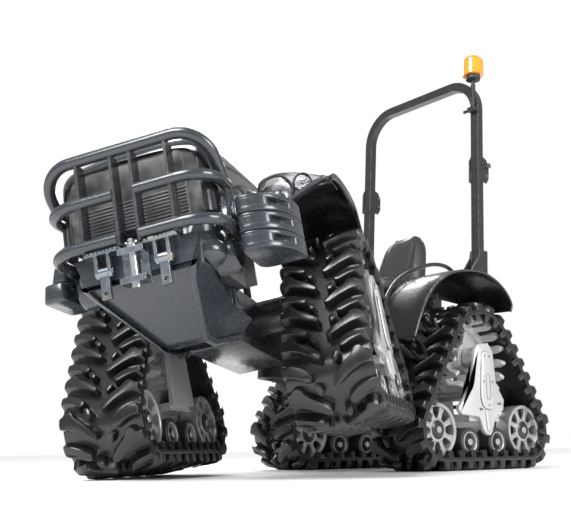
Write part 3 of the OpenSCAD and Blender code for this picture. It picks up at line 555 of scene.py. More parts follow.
def finish(name):
    """The finish of that name, made once."""
    paint = bpy.context.scene.tractor_paint
    makers = {
        "graphite": lambda: painted("Graphite paint", tuple(paint.body), paint.gloss, 0.45, 0.004,
                                    (0.3, 0.34, 0.4), 0.25, dust=0.08),
        "chassis": lambda: painted("Chassis black", tuple(paint.chassis), 0.42, 0.2, 0.003, (0.16, 0.16, 0.17), 0.3,
                                   dust=0.15),
        "gloss": lambda: painted("Gloss black", (0.005, 0.005, 0.006), 0.3, 0.25, 0.003, (0.1, 0.1, 0.11), 0.3,
                                 0.08, dust=0.06),
        "tube": lambda: painted("Satin black tube", (0.022, 0.023, 0.026), 0.28, 0.4, 0.005, (0.3, 0.31, 0.33),
                                0.4, 0.1, dust=0.15),
        "hood": lambda: painted("Dark metallic", (0.018, 0.02, 0.024), 0.18, 0.9, 0.003, (0.2, 0.2, 0.22), 0.2,
                                0.05, 0.35, 0.08),
        "engine": lambda: painted("Engine grey", (0.12, 0.12, 0.125), 0.5, 0.1, 0.003, (0.4, 0.4, 0.4), 0.5, 0.4,
                                  dust=0.7),
        "cast": lambda: cast("Silver casting", tuple(paint.silver)),
        "rim": lambda: cast("Wheel silver", (0.5, 0.51, 0.52), 0.34, 0.002),
        "hub": lambda: painted("Hub black", (0.015, 0.015, 0.016), 0.35, 0.3, 0.002, (0.3, 0.3, 0.3), 0.5),
        "rubber": lambda: rubber("Track rubber"),
        "tyre": lambda: rubber("Roller rubber", (0.02, 0.02, 0.021), 0.5),
        "zinc": lambda: plated("Zinc plate"),
        "steel": lambda: plated("Bright steel", (0.7, 0.71, 0.73), 0.18, (0.6, 0.6, 0.6)),
        "trim": lambda: moulded("Black moulding", (0.018, 0.018, 0.02)),
        "vinyl": lambda: vinyl("Seat vinyl"),
        "amber": lambda: amber("Amber lens"),
        "glass": lambda: glass("Lamp glass"),
        "reflector": lambda: reflector("Lamp mirror"),
        "mesh": lambda: wire_mesh("Grille mesh"),
        "floor": lambda: floor_finish("Studio floor"),
    }
    if name not in FINISH:
        FINISH[name] = makers[name]()
    return FINISH[name]


# ---- the belt's path, the same loop as the belt solids follow ----
LINKS, BELT_T, LUG_H = 32, 22.0, 44.0
SPROCKET_R, IDLER_R, IDLER_Y = 233.0, 131.0, 342.0
TOUCH = 0.8
ROLLER_R, ROLLER_Y = 71.5, 110.0
HALF_W = 175.0
IDLER_PATH = IDLER_R + TOUCH + BELT_T / 2
IDLER_Z = LUG_H + BELT_T + TOUCH + IDLER_R
ROLLER_Z = LUG_H + BELT_T + TOUCH + ROLLER_R
RUN_Z = AXLE_Z - IDLER_Z
RUN = math.hypot(IDLER_Y, RUN_Z)
RUN_NORMAL = math.atan2(RUN_Z, IDLER_Y) + math.acos((IDLER_PATH - SPROCKET_R) / RUN)
WRAP = SPROCKET_R * (RUN_NORMAL - math.pi / 2)
STRAIGHT = math.sqrt(RUN**2 - (SPROCKET_R - IDLER_PATH) ** 2)
BEND = IDLER_PATH * (1.5 * math.pi - RUN_NORMAL)
HALF_LOOP = WRAP + STRAIGHT + BEND + IDLER_Y
PITCH = 2 * HALF_LOOP / LINKS


def on_loop(x, s, h):
    """Point across the belt at x, at distance s round the loop and height h outside its middle line:
    an arc over the sprocket, a straight run, an arc round the idler, the flat foot, then their mirror."""
    x, s, h = np.broadcast_arrays(x, s, h)
    s = np.mod(s, 2 * HALF_LOOP)
    side = np.where(s > HALF_LOOP, -1.0, 1.0)
    s = np.where(s > HALF_LOOP, 2 * HALF_LOOP - s, s)
    run_s, bend_s = s - WRAP, s - WRAP - STRAIGHT
    angle = np.select(
        [run_s < 0, bend_s < 0, bend_s < BEND],
        [math.pi / 2 + s / SPROCKET_R, RUN_NORMAL, RUN_NORMAL + bend_s / IDLER_PATH], 1.5 * math.pi,
    )
    out_y, out_z = np.cos(angle), np.sin(angle)
    leave_y, leave_z = SPROCKET_R * math.cos(RUN_NORMAL), AXLE_Z + SPROCKET_R * math.sin(RUN_NORMAL)
    y = np.select(
        [run_s < 0, bend_s < 0, bend_s < BEND],
        [SPROCKET_R * out_y, leave_y - run_s * math.sin(RUN_NORMAL), -IDLER_Y + IDLER_PATH * out_y],
        -IDLER_Y + s - (HALF_LOOP - IDLER_Y),
    )
    z = np.select(
        [run_s < 0, bend_s < 0, bend_s < BEND],
        [AXLE_Z + SPROCKET_R * out_z, leave_z + run_s * math.cos(RUN_NORMAL), IDLER_Z + IDLER_PATH * out_z],
        IDLER_Z - IDLER_PATH,
    )
    return np.stack([x, side * (y + h * out_y), z + h * out_z], axis=-1)


# lug outlines for one half of the belt: across from the middle, and along the loop
SHORT_LUG = [(175, -6), (130, 0), (96, 12), (70, 28), (58, 42), (64, 56), (82, 56), (112, 42), (140, 33), (175, 28)]
LONG_LUG = [
    (175, 80), (152, 80), (142, 66), (116, 66), (104, 88), (70, 108), (42, 128), (18, 148), (12, 162), (24, 170),
    (46, 160), (82, 140), (122, 124), (175, 114),
]
STUD = [(34, 100), (26, 88), (34, 72), (50, 64), (60, 72), (52, 90), (44, 100)]


def lug(shape, outline, side, offset):
    """Adds one lug in every second link: its outline, widened at the foot and rounded at the top, is
    laid round the loop at rising heights that fall off towards the belt's edge."""
    base = rounded(outline, 9, 3)
    starts = (np.arange(LINKS // 2) * 2 * PITCH + offset)[:, None, None]
    layers = [(6.0, -2.0), (3.0, 0.3), (0.5, 0.93), (-1.0, 0.985), (-3.0, 1.0)]
    rings = np.stack([grown(base, g) for g, _ in layers])
    rise = np.array([r for _, r in layers])[:, None]
    u = np.clip(rings[..., 0], 5, HALF_W)
    fall = np.clip((u - 148) / 27, 0, 1) ** 2 * 15
    h = np.where(rise < 0, BELT_T / 2 - 3, BELT_T / 2 + (LUG_H - fall) * rise)
    s = rings[..., 1] * (PITCH / 86.0)
    shape.strips(on_loop((side * u)[None], s[None] + starts, h[None]))


def make_belt(corner):
    """Belt: a band with rounded edges, guide teeth inside and staggered rows of lugs outside."""
    belt = Shape()
    s = np.linspace(0, 2 * HALF_LOOP, 161)[:-1]
    band = box_outline(-HALF_W, HALF_W, -BELT_T / 2, BELT_T / 2, 5, 3)
    belt.rings(on_loop(band[None, :, 0], s[:, None], band[None, :, 1]), closed=True)
    for side, stagger in ((1, 0.0), (-1, PITCH)):
        for outline in (SHORT_LUG, LONG_LUG, STUD):
            lug(belt, outline, side, stagger)
        tooth = box_outline(149, 173, 0.3 * PITCH, 0.7 * PITCH, 5, 3)
        starts = (np.arange(LINKS) * PITCH)[:, None, None]
        rings = np.stack([grown(tooth, g) for g in (1.5, 0.0, -5.0)])
        depth = np.array([-8.0, -36.0, -44.0])[None, :, None]
        u = np.clip(rings[..., 0], 0, HALF_W)
        belt.strips(on_loop((side * u)[None], rings[..., 1][None] + starts, depth))
    belt.build(f"{corner}_tread", TRACK[corner], finish("rubber"), f"{corner}_track", [f"{corner}_belt"],
               "track_rubber", sharp=32)


def make_wheel(corner, end, y, z, radius, roller):
    """Pair of track wheels: turned rims, spokes between, a black hub and a bright cap."""
    node = f"{corner}_{end}"
    rim, dark, tyre = Shape(), Shape(), Shape()
    inner, outer = 52.0, 138.0
    for side in (1, -1):
        def along(values):
            return [(r, side * h) for r, h in values]
        if roller:
            lathe(tyre, "x", (0, y, z), along([
                (radius - 20, inner), (radius - 3, inner), (radius, inner + 4), (radius, outer - 4),
                (radius - 3, outer), (radius - 20, outer),
            ]), closed=True)
            lathe(rim, "x", (0, y, z), along([
                (radius - 30, outer - 24), (radius - 19.5, outer - 20), (radius - 19.5, outer + 1),
                (radius - 23, outer + 2), (radius - 27, outer - 1), (radius - 30, outer - 16),
            ]), closed=True)
            lathe(dark, "x", (0, y, z), along([
                (radius - 29, inner + 6), (radius - 29, outer - 18), (radius - 44, outer - 12),
                (22, outer - 2), (20, outer), (4, outer + 1),
            ]))
        else:
            lathe(rim, "x", (0, y, z), along([
                (radius - 18, inner), (radius - 2, inner), (radius, inner + 3), (radius, outer - 3),
                (radius - 3, outer), (radius - 14, outer), (radius - 18, outer - 4), (radius - 18, inner + 4),
            ]), 64, closed=True)
            lathe(rim, "x", (0, y, z), along([
                (46, outer - 30), (58, outer - 30), (60, outer - 20), (58, outer - 10), (46, outer - 8),
            ]), closed=True)
            lathe(dark, "x", (0, y, z), along([
                (47, inner), (47, outer - 9), (40, outer - 4), (30, outer - 1), (22, outer), (4, outer),
            ]))
            spoke = rounded([[-15, 52], [-11, 84], [-20, radius - 16], [20, radius - 16], [11, 84], [15, 52]], 8, 3)
            for i in range(8):
                a = math.radians(45 * i + 22.5)
                turned = spoke @ np.array([[math.cos(a), math.sin(a)], [-math.sin(a), math.cos(a)]])
                low, high = sorted((side * (outer - 30), side * (outer - 12)))
                plate(rim, "x", turned + (y, z), low, high, 3)
            low, high = sorted((side * (inner + 6), side * (inner + 14)))
            lathe(dark, "x", (0, y, z), [(radius - 17, low), (radius - 17, high), (30, high), (30, low)], closed=True)
        lathe(rim, "x", (0, y, z), along([(17, outer - 3), (17, outer + 1), (14, outer + 4), (3, outer + 4.2)]), 32)
    lathe(dark, "x", (0, y, z), [(16, -outer), (16, outer)], 24)
    rim.build(f"{node}_rims", TRACK[corner], finish("rim"), node, [node], "wheel_steel")
    dark.build(f"{node}_hubs", TRACK[corner], finish("hub"), node, slot="wheel_steel")
    if roller:
        tyre.build(f"{node}_tyres", TRACK[corner], finish("tyre"), node, slot="roller_rubber")


# ---- castings and weights ----
LEG = [(-72, 590), (-54, 630), (30, 642), (68, 602), (84, 430), (140, 350), (130, 298), (62, 262), (32, 188),
       (12, 170), (-12, 170), (-36, 188), (-62, 262), (-204, 270), (-229, 300), (-112, 420)]


def make_leg(corner):
    """Outer leg of a track frame: a thick casting with softly rounded edges, a raised oblong cover
    with a groove round it, drawn as a thin dark line of painted shade, a boss at the axle and screws along the cover."""
    leg = Shape()
    plate(leg, "x", rounded(LEG, 26, 5), 146, 174, 12, 5)
    plate(leg, "x", rounded([(-44, 500), (-30, 598), (34, 598), (52, 500), (58, 350), (38, 300), (-34, 300),
                             (-58, 350)], 30, 6), 170, 184, 9, 5)
    plate(leg, "x", rounded([(-14, 190), (-26, 300), (26, 300), (14, 190)], 12, 5), 168, 180, 8, 4)
    lathe(leg, "x", (0, 0, AXLE_Z), [(60, 128), (60, 150), (54, 158), (40, 160), (40, 128)], 40, closed=True)
    leg.build(f"{corner}_leg", TRACK[corner], finish("cast"), f"{corner}_track", slot="cast_silver", sharp=50)
    # Painted shade: the groove is a thin dark grey tube laid on the cover, standing for the shade in it; the screws
    # share this piece.
    line = Shape()
    oblong = rounded([(-15, 350), (-15, 480), (15, 480), (15, 350)], 15, 7)
    path = np.c_[np.full(len(oblong), 184.5), oblong]
    tube(line, np.vstack([path, path[:1]]), 1.3, 6, up=(1, 0, 0.01))
    for y, z in ((-20, 570), (20, 570), (0, 320), (-34, 440), (34, 440), (-60, 300), (90, 330)):
        lathe(line, "x", (0, y, z), [(5, 170), (6, 185), (4, 187), (1, 187.2)], 12)
    line.build(f"{corner}_leg_screws_and_groove_shade", TRACK[corner], finish("engine"), f"{corner}_track", slot="cast_silver")


SKID_LOW = [(-1040, 520), (-1000, 486), (-690, 342), (-600, 342), (-380, 400)]
SKID_HIGH = [(-1040, 640), (-1001, 640), (-1000, 539), (-940, 539), (-640, 480), (-380, 470)]


def make_nose():
    """Nose casting and belly plate: the plate is a section, wide above and narrow below, drawn along
    the tractor between its lower and upper lines; the nose is a rounded plan drawn upwards through
    widths that swell at the shoulders and draw in to a collar, with a bored boss on each side."""
    belly = Shape()
    y = np.r_[-1040, -1030, -1016, -1002, -1000, np.linspace(-985, -700, 14), np.linspace(-690, -600, 6),
              np.linspace(-580, -380, 8)]
    low = np.interp(y, *zip(*SKID_LOW))
    high = np.interp(y, *zip(*SKID_HIGH))
    share = np.clip((low - 341) / 204, 0, 1)
    share_high = np.clip((high - 341) / 204, 0, 1)
    wide_low, wide_high = 105 + 130 * share, 105 + 130 * share_high
    a = np.linspace(0, np.pi / 2, 6)
    corner_x, corner_z = 26 * (1 - np.sin(a)), 26 * (1 - np.cos(a))
    rows = []
    for w_low, w_high, z_low, z_high in zip(wide_low, wide_high, low, high):
        left = np.r_[w_low - corner_x[::-1], w_high]
        z_left = np.r_[z_low + corner_z[::-1] * 0.8, z_high]
        rows.append(np.c_[np.r_[left, -left[::-1]], np.r_[z_left, z_left[::-1]]])
    rows = np.array(rows)
    sections = np.stack([rows[..., 0], np.repeat(y[:, None], rows.shape[1], 1), rows[..., 1]], axis=-1)
    belly.rings(sections)
    belly.build("belly_plate", FRONT, finish("graphite"), "front_half", ["belly_skid"], "graphite_paint", sharp=28)
    nose = Shape()
    z = np.array([541, 543, 552, 566, 584, 604, 622, 636, 642, 646, 690, 694, 696])
    half = np.array([225, 236, 262, 280, 289, 289, 280, 268, 263, 266, 266, 263, 255])
    front = np.array([-930, -940, -962, -976, -984, -986, -986, -984, -980, -984, -984, -981, -973])
    back = np.full(13, -742.0)
    plan = np.stack([box_outline(-h, h, f, b, 105, 9) for h, f, b in zip(half, front, back)])
    nose.rings(np.concatenate([plan, np.repeat(z[:, None, None], plan.shape[1], 1)], axis=2))
    for side in (1, -1):
        ring = [(64, 230), (64, 300), (60, 309), (54, 313), (46, 313), (41, 309), (41, 262), (41, 230)]
        lathe(nose, "x", (0, -835, 590), [(r, side * h) for r, h in ring], 48, closed=True)
        lathe(nose, "x", (0, -835, 590), [(42, side * 236), (42, side * 262), (20, side * 264), (4, side * 264)], 40)
        plate(nose, "x", box_outline(-835, -765, 625, 680, 8), *sorted((side * 276, side * 346)), 4)
    plate(nose, "z", box_outline(-100, 100, -1000, -300, 12), 545, 640, 6)
    plate(nose, "z", box_outline(-120, 120, -330, 296, 14), 400, 640, 8)
    lathe(nose, "y", (0, 0, JOINT_Z), [(30, 276), (72, 276), (78, 284), (78, 416), (74, 421), (43.5, 421),
                                       (43.5, 300), (30, 300)], 48, closed=True)
    end = 289.0
    lathe(nose, "x", (0, 0, AXLE_Z), [(46, -end), (96, -end), (101, -end + 5), (101, 26 - end), (84, 32 - end),
                                      (79, 60 - end), (79, end - 60), (84, end - 32), (101, end - 26), (101, end - 5),
                                      (96, end), (46, end)], 56, closed=True)
    nose.build("nose_casting", FRONT, finish("graphite"), "front_half", ["front_chassis"], "graphite_paint",
               sharp=40)


def make_weights():
    """Front weights: on the left three plates whose front edge is one smooth curve, each with a
    pointed pocket in its outer corner; on the right two tapered blocks."""
    left = Shape()
    edge = [(0, 0), (0, -232), (12, -256), (44, -261), (90, -244), (134, -206), (164, -150), (180, -84), (183, -20),
            (178, 0)]
    smooth = rounded(edge, 60, 7)
    pocket = [(0, 0), (0, -232), (12, -256), (44, -261), (90, -244), (120, -222), (112, -186), (128, -140),
              (158, -120), (172, -112), (181, -70), (183, -20), (178, 0)]
    hollow = rounded(pocket, 14, 4)
    at = np.array([346.7, -690.0])
    for i in range(3):
        z = 560 + 69 * i
        plate(left, "z", smooth + at, z, z + 24, 5, 4)
        plate(left, "z", hollow + at, z + 20, z + 52, 2, 2)
        plate(left, "z", smooth + at, z + 48, z + 66, 5, 4)
        plate(left, "z", box_outline(10, 120, -200, -40, 30) + at, z + 64, z + 70, 1)
    left.build("front_weights_left", FRONT, finish("graphite"), "front_half", ["front_weights"], "graphite_paint",
               sharp=40)
    right = Shape()
    for low, wide, narrow, high, y in ((560, 92, 84, 72, -922), (635, 66, 50, 66, -902)):
        z = np.array([low, low + 3, low + 7, low + high - 7, low + high - 3, low + high])
        cut = np.array([7, 2, 0, 0, 2, 7.0])
        width = wide + (narrow - wide) * (z - low) / high
        plan = np.stack([box_outline(-346.7 - w + c, -346.7 - c, y + c, -708 - c, 26, 6) for w, c in zip(width, cut)])
        right.rings(np.concatenate([plan, np.repeat(z[:, None, None], plan.shape[1], 1)], axis=2))
    plate(right, "z", box_outline(-386, -356, -850, -780, 8), 628, 640, 1)
    right.build("front_weights_right", FRONT, finish("graphite"), "front_half", slot="graphite_paint", sharp=40)


# ---- sheet metal ----
HOOD_SECTION = [(294, 722), (294, 1005), (285, 1060), (248, 1098), (120, 1120), (-120, 1120), (-248, 1098),
                (-285, 1060), (-294, 1005), (-294, 722)]
HOOD_TOP = [(-1003, 1022), (-930, 1060), (-700, 1092), (-386, 1117), (-225, 1126)]


def hood_rings(stations, inset):
    """Hood surface: the section, its height stretched to the top line at each station, drawn in
    towards the middle of the nose by the inset."""
    section = rounded(HOOD_SECTION, 60, 7, closed=False)
    top = np.interp(stations, [p[0] for p in HOOD_TOP], [p[1] for p in HOOD_TOP])[:, None]
    scale = (top - 722 - 0.8 * inset[:, None]) / (1120 - 722)
    x = section[None, :, 0] * (1 - inset[:, None] / 294)
    z = 722 + (section[None, :, 1] - 722) * scale
    return np.stack([x, np.repeat(stations[:, None], section.shape[0], 1), z], axis=-1)


def make_hood():
    """Hood shell with its rolled front lip, side vents and a seam, and the mesh behind the lip."""
    hood = Shape()
    back = np.linspace(-225, -940, 16)
    t = np.linspace(0.1, 1, 7)
    stations = np.r_[back, -940 - 58 * np.sin(t * np.pi / 2)]
    inset = np.r_[np.zeros(16), 36 * (1 - np.cos(t * np.pi / 2))]
    hood.shell(hood_rings(stations, inset)[::-1], 5)
    hood.build("hood_shell", FRONT, finish("hood"), "hood", ["hood"], "hood_paint", sharp=50)
    trims = Shape()
    for side in (1, -1):
        for y in np.linspace(-620, -320, 6):
            slat = rounded([[y, 800], [y + 34, 800], [y + 44, 930], [y + 10, 930]], 8, 3)
            low, high = sorted((side * 292, side * 296.5))
            plate(trims, "x", slat, low, high, 1.5)
    for x in (-95, 95):
        plate(trims, "x", box_outline(-252, -224, 884, 1112, 8), x - 5, x + 5, 2)
    trims.build("hood_vents", FRONT, finish("trim"), "hood", slot="hood_paint")
    mesh = Shape()
    plate(mesh, "y", rounded([[-262, 724], [-262, 960], [-225, 1000], [225, 1000], [262, 960], [262, 724]], 40, 6),
          -992, -986, 1)
    mesh.build("hood_mesh", FRONT, finish("mesh"), "hood", ["grille"], "grille_mesh")
    bars = Shape()
    for z in np.arange(726, 842, 13.0):
        plate(bars, "y", box_outline(-205, 205, z, z + 6, 2, 3), -998, -991, 1.5)
    for x in (-262, -206, 198, 254):
        plate(bars, "y", box_outline(x, x + 8, 724, 960, 2, 3), -996, -990, 1.5)
    bars.build("hood_louvres", FRONT, finish("engine"), "hood", slot="grille_mesh")


FRONT_FENDER = [(-404, 868), (-412, 930), (-400, 985), (-350, 1022), (-240, 1040), (-100, 1042), (20, 1020),
                (110, 975), (170, 915), (200, 860)]
FENDER_LIP = [(306, 888), (395, 884), (450, 910), (510, 938), (560, 952), (600, 955), (621, 950)]


def make_front_fender(side):
    """Front fender: the arch line carried outwards, crowned at both edges, its front foot cut along
    the rising lip; with a rolled lip, an inner wall, and a lamp bowl, ring and lens for both lamps."""
    label = "left" if side > 0 else "right"
    matrix = FRONT if side > 0 else FRONT @ MIRROR
    line = curve_through(FRONT_FENDER, 40)
    x = np.linspace(306, 621, 22)
    lip_z = np.interp(x, [p[0] for p in FENDER_LIP], [p[1] for p in FENDER_LIP])
    crown = 6 * np.clip((330 - x) / 24, 0, 1) ** 2 + 24 * np.clip((x - 520) / 101, 0, 1) ** 2
    y = line[:, :1] * (1 - crown[None] / 900)
    z = line[:, 1:] - crown[None]
    foot = np.clip((985 - z) / (985 - 868), 0, 1) * (line[:, :1] < -300)
    z = z * (1 - foot) + foot * np.where(foot > 0, 985 - foot * (985 - lip_z[None]), z)
    grid = np.stack([np.repeat(x[None], len(line), 0), y, z], axis=-1)
    fender = Shape().shell(grid[:, ::-1], 5)
    wall = np.vstack([line, [[150, 880], [-380, 880]]])
    plate(fender, "x", wall, 306, 311, 1)
    plate(fender, "x", box_outline(-150, -100, 905, 925, 4), 100, 308, 2)
    plate(fender, "z", box_outline(100, 120, -150, -100, 4), 640.4, 925, 2)
    fender.build(f"front_fender_{label}_shell", matrix, finish("gloss"), "front_half", [f"front_fender_{label}"],
                 "gloss_black", sharp=40)
    lip = Shape()
    path = [(318, -412, 890), (390, -418, 886), (450, -424, 912), (512, -424, 942), (565, -414, 962), (604, -385, 976),
            (618, -330, 998), (620, -240, 1013), (620, -100, 1016), (619, 20, 996), (618, 110, 952), (616, 180, 880)]
    tube(lip, curve_through(path, 60), 7, 12, up=(0.3, -1, 0.4), flat=2.0)
    lip.build(f"front_fender_{label}_lip", matrix, finish("graphite"), "front_half", slot="gloss_black")
    fairing = Shape()
    face = curve_through([(306, 884), (306, 960), (312, 1010), (340, 1036), (388, 1044), (440, 1038), (500, 1026),
                          (560, 1004), (604, 976), (619, 955), (600, 952), (560, 946), (510, 932), (450, 904),
                          (395, 880), (340, 878), (306, 884)], 64)[:-1]
    slope = np.array([0.0, 0.1, 0.45, 1.0])
    insets = (9, 3, 0, 0)
    rows = [np.c_[grown(face, -g)[:, 0], -426 + 60 * s + 0.55 * np.clip(face[:, 0] - 430, 0, 200) * (0.3 + s * 0.5),
                  grown(face, -g)[:, 1]] for s, g in zip(slope, insets)]
    fairing.rings(np.stack(rows))
    fairing.build(f"front_fender_{label}_face", matrix, finish("gloss"), "front_half", slot="gloss_black", sharp=50)
    rings, bowls, lenses = Shape(), Shape(), Shape()
    for cx, cz, r in ((388, 958, 70), (500, 978, 36)):
        front = -428.0 if r > 50 else -416.0
        lathe(rings, "y", (cx, 0, cz), [(r - 4, front + 2), (r, front - 3), (r + 4, front), (r + 5, front + 26), (r - 4, front + 26)],
              56, closed=True)
        depth = np.linspace(0, 1, 9)
        bowl = [(r - 3 - (r - 14) * (1 - math.cos(d * 1.5)), front + 3 + 9 * d) for d in depth]
        lathe(bowls, "y", (cx, 0, cz), bowl + [(10, bowl[-1][1]), (10, bowl[-1][1] + 4), (r - 2, bowl[-1][1] + 4),
              (r - 2, front + 8)], 40, closed=True)
        lathe(bowls, "y", (cx, 0, cz), [(4, front + 2), (9, front + 8), (9, front + 24), (4, front + 26)], 24)
        t = np.linspace(0, np.pi / 2 - 0.15, 8)
        dome = [((r - 3) * math.cos(a), front - 5 * math.sin(a)) for a in t]
        lathe(lenses, "y", (cx, 0, cz), [(r - 3, front + 3)] + dome, 48)
    rings.build(f"lamp_rings_{label}", matrix, finish("trim"), "front_half", slot="gloss_black")
    bowls.build(f"lamp_mirrors_{label}", matrix, finish("reflector"), "front_half",
                ["headlamps"] if side > 0 else (), "lamp_glass")
    lenses.build(f"lamp_lenses_{label}", matrix, finish("glass"), "front_half", slot="lamp_glass")


REAR_FENDER = [(-530, 600), (-468, 760), (-400, 862), (-320, 935), (-230, 985), (-120, 1015), (0, 1026), (90, 1010),
               (170, 976), (228, 930), (254, 888), (244, 850)]


def make_rear_fenders():
    """Rear fenders: the arch line carried outwards with a crowned outer edge and a rolled rim, an
    inner wall, the stays, a grab rail, and the lift lever's bracket on the right."""
    line = curve_through(REAR_FENDER, 48)
    sheets, rims = {}, {}
    for side in (1, -1):
        matrix = REAR if side > 0 else REAR @ MIRROR
        x = np.linspace(376, 643, 18)
        crown = 10 * np.clip((x - 560) / 83, 0, 1) ** 2 + 4 * np.clip((392 - x) / 16, 0, 1) ** 2
        centre = np.array([-80.0, 600.0])
        away = line - centre
        away /= np.linalg.norm(away, axis=1)[:, None]
        yz = line[:, None] - away[:, None] * crown[None, :, None]
        grid = np.concatenate([np.broadcast_to(x[None, :, None], yz.shape[:2] + (1,)), yz], axis=2)
        sheet = Shape().shell(grid[:, ::-1], 5)
        wall = np.vstack([line[line[:, 0] > -455], [[120, 900], [-300, 900]]])
        plate(sheet, "x", wall, 371, 377, 1)
        plate(sheet, "x", box_outline(-60, -30, 905, 935, 4), 256, 378, 2)
        plate(sheet, "x", box_outline(-60, -30, 800, 830, 4), 133, 280, 2)
        plate(sheet, "z", box_outline(256, 280, -60, -30, 4), 802, 934, 2)
        plate(sheet, "z", box_outline(132, 150, -60, -30, 4), 740.4, 829, 2)
        if side < 0:
            plate(sheet, "x", box_outline(-90, -50, 920, 972, 5), 328, 336, 1.5)
            plate(sheet, "x", box_outline(-90, -50, 920, 972, 5), 348, 356, 1.5)
            plate(sheet, "x", box_outline(-90, -50, 920, 944, 5), 334, 372, 1.5)
        label = "left" if side > 0 else "right"
        sheets[label] = sheet.build(f"rear_fender_{label}_shell", matrix, finish("gloss"), "rear_half",
                                    ["rear_fenders"] if side > 0 else (), "gloss_black", sharp=40)
        rim = Shape()
        outer = grid[:, -1] - [3, 0, 0]
        tube(rim, outer, 5.5, 12, up=(1, 0, 0.01))
        tube(rim, curve_through([(376, -455, 795), (352, -400, 885), (346, -300, 985), (346, -120, 1078),
                                 (346, 20, 1108), (352, 110, 1080), (376, 150, 990)], 40), 11, 14, up=(1, 0, 0.01))
        rim.build(f"rear_fender_{label}_rims", matrix, finish("tube"), "rear_half", slot="gloss_black")
    return sheets


def seat_pad(name, centre, half, tilt, finish_name, replaces, swell, exponent=3.6, taper=0.0):
    """Seat pad: a swollen block whose radius along each direction is that of a power ellipsoid,
    inflated as cloth and smoothed."""
    pad = Shape()
    a = np.linspace(-np.pi / 2 + 0.02, np.pi / 2 - 0.02, 33)[:, None]
    b = np.linspace(0, 2 * np.pi, 64, endpoint=False)[None, :]

    def power(v):
        return np.sign(v) * np.abs(v) ** (2 / exponent)

    unit = np.stack([power(np.cos(a)) * power(np.cos(b)), power(np.cos(a)) * power(np.sin(b)),
                     power(np.sin(a)) * np.ones_like(b)], axis=-1)
    block = unit * np.array(half)
    block[..., 0] *= 1 - taper * np.clip(block[..., 2:3][..., 0] / half[2] * 0.6 + 0.4, 0, 1) ** 1.6
    flat, deep = (1, 2) if taper else (2, 1)
    seam = np.exp(-((np.abs(block[..., 0]) / half[0] - 0.56) / 0.05) ** 2)
    crossing = np.exp(-((block[..., deep] / half[deep] - 0.3) / 0.05) ** 2) * (np.abs(block[..., 0]) < half[0] * 0.56)
    block[..., flat] *= 1 - 0.2 * np.maximum(seam, crossing)
    place = turn("x", tilt)
    block = block @ place[:3, :3].T + np.array(centre)
    pad.rings(block)
    made = pad.build(name, REAR, finish(finish_name), "seat", replaces, "seat_vinyl", sharp=80)
    inflate(made, swell)
    smoothing = made.modifiers.new("Smoothing", "SUBSURF")
    smoothing.levels = smoothing.render_levels = 1
    return made


def inflate(piece, cap):
    """Swells a pad as cloth under pressure, then keeps each point within the cap of where it was."""
    scene = bpy.context.scene
    for other in bpy.context.selected_objects:
        other.select_set(False)
    bpy.context.view_layer.objects.active = piece
    piece.select_set(True)
    before = np.empty(len(piece.data.vertices) * 3, np.float32)
    piece.data.vertices.foreach_get("co", before)
    cloth = piece.modifiers.new("Cloth", "CLOTH")
    cloth.settings.use_pressure = True
    cloth.settings.uniform_pressure_force = 4
    cloth.settings.effector_weights.gravity = 0
    cloth.settings.tension_stiffness = 20
    for moment in range(1, 16):
        scene.frame_set(moment)
    bpy.ops.object.modifier_apply(modifier="Cloth")
    scene.frame_set(1)
    after = np.empty(len(before), np.float32)
    piece.data.vertices.foreach_get("co", after)
    move = (after - before).reshape(-1, 3)
    size = np.linalg.norm(move, axis=1)[:, None] + 1e-9
    held = before.reshape(-1, 3) + move * np.minimum(1, cap / size)
    piece.data.vertices.foreach_set("co", held.astype(np.float32).ravel())
    piece.data.update()


# ---- the panel's settings and the operators ----
class TractorPaint(bpy.types.PropertyGroup):
    """Colours and gloss of the tractor."""

    body: FloatVectorProperty(name="Body paint", description="Colour of the bull bar, weights and castings",
                              default=(0.026, 0.031, 0.038), subtype="COLOR", min=0, max=1)
    chassis: FloatVectorProperty(name="Chassis paint", description="Colour of the frame under the panels",
                                 default=(0.009, 0.0095, 0.0105), subtype="COLOR", min=0, max=1)
    silver: FloatVectorProperty(name="Casting silver", description="Colour of the track frames",
                                default=(0.66, 0.67, 0.68), subtype="COLOR", min=0, max=1)
    gloss: FloatProperty(name="Body roughness", description="Roughness of the body paint, 0 is a mirror",
                         default=0.26, min=0, max=1, subtype="FACTOR")


class TractorStudio(bpy.types.PropertyGroup):
    """Light and floor of the studio."""

    key_power: FloatProperty(name="Key light", description="Power of the large soft light", default=520.0,
                             min=0, subtype="POWER", unit="POWER")
    sky: FloatProperty(name="Surround", description="Strength of the pale surround", default=0.42, min=0)
    floor_radius: FloatProperty(name="Floor radius", description="Radius of the studio floor", default=60.0,
                                min=1, unit="LENGTH")


class TRACTOR_OT_belts(bpy.types.Operator):
    """Makes the four rubber belts"""

    bl_idname = "tractor.belts"
    bl_label = "Track belts"

    def execute(self, context):
        for corner in TRACK:
            make_belt(corner)
        return {"FINISHED"}


class TRACTOR_OT_wheels(bpy.types.Operator):
    """Makes the idler wheels and ground rollers"""

    bl_idname = "tractor.wheels"
    bl_label = "Track wheels"

    def execute(self, context):
        for corner in TRACK:
            make_wheel(corner, "front_idler", -IDLER_Y, IDLER_Z, IDLER_R, False)
            make_wheel(corner, "rear_idler", IDLER_Y, IDLER_Z, IDLER_R, False)
            make_wheel(corner, "front_roller", -ROLLER_Y, ROLLER_Z, ROLLER_R, True)
            make_wheel(corner, "rear_roller", ROLLER_Y, ROLLER_Z, ROLLER_R, True)
        return {"FINISHED"}


class TRACTOR_OT_castings(bpy.types.Operator):
    """Makes the cast legs of the track frames, the nose casting and the front weights"""

    bl_idname = "tractor.castings"
    bl_label = "Castings and weights"

    def execute(self, context):
        for corner in TRACK:
            make_leg(corner)
        make_nose()
        make_weights()
        return {"FINISHED"}


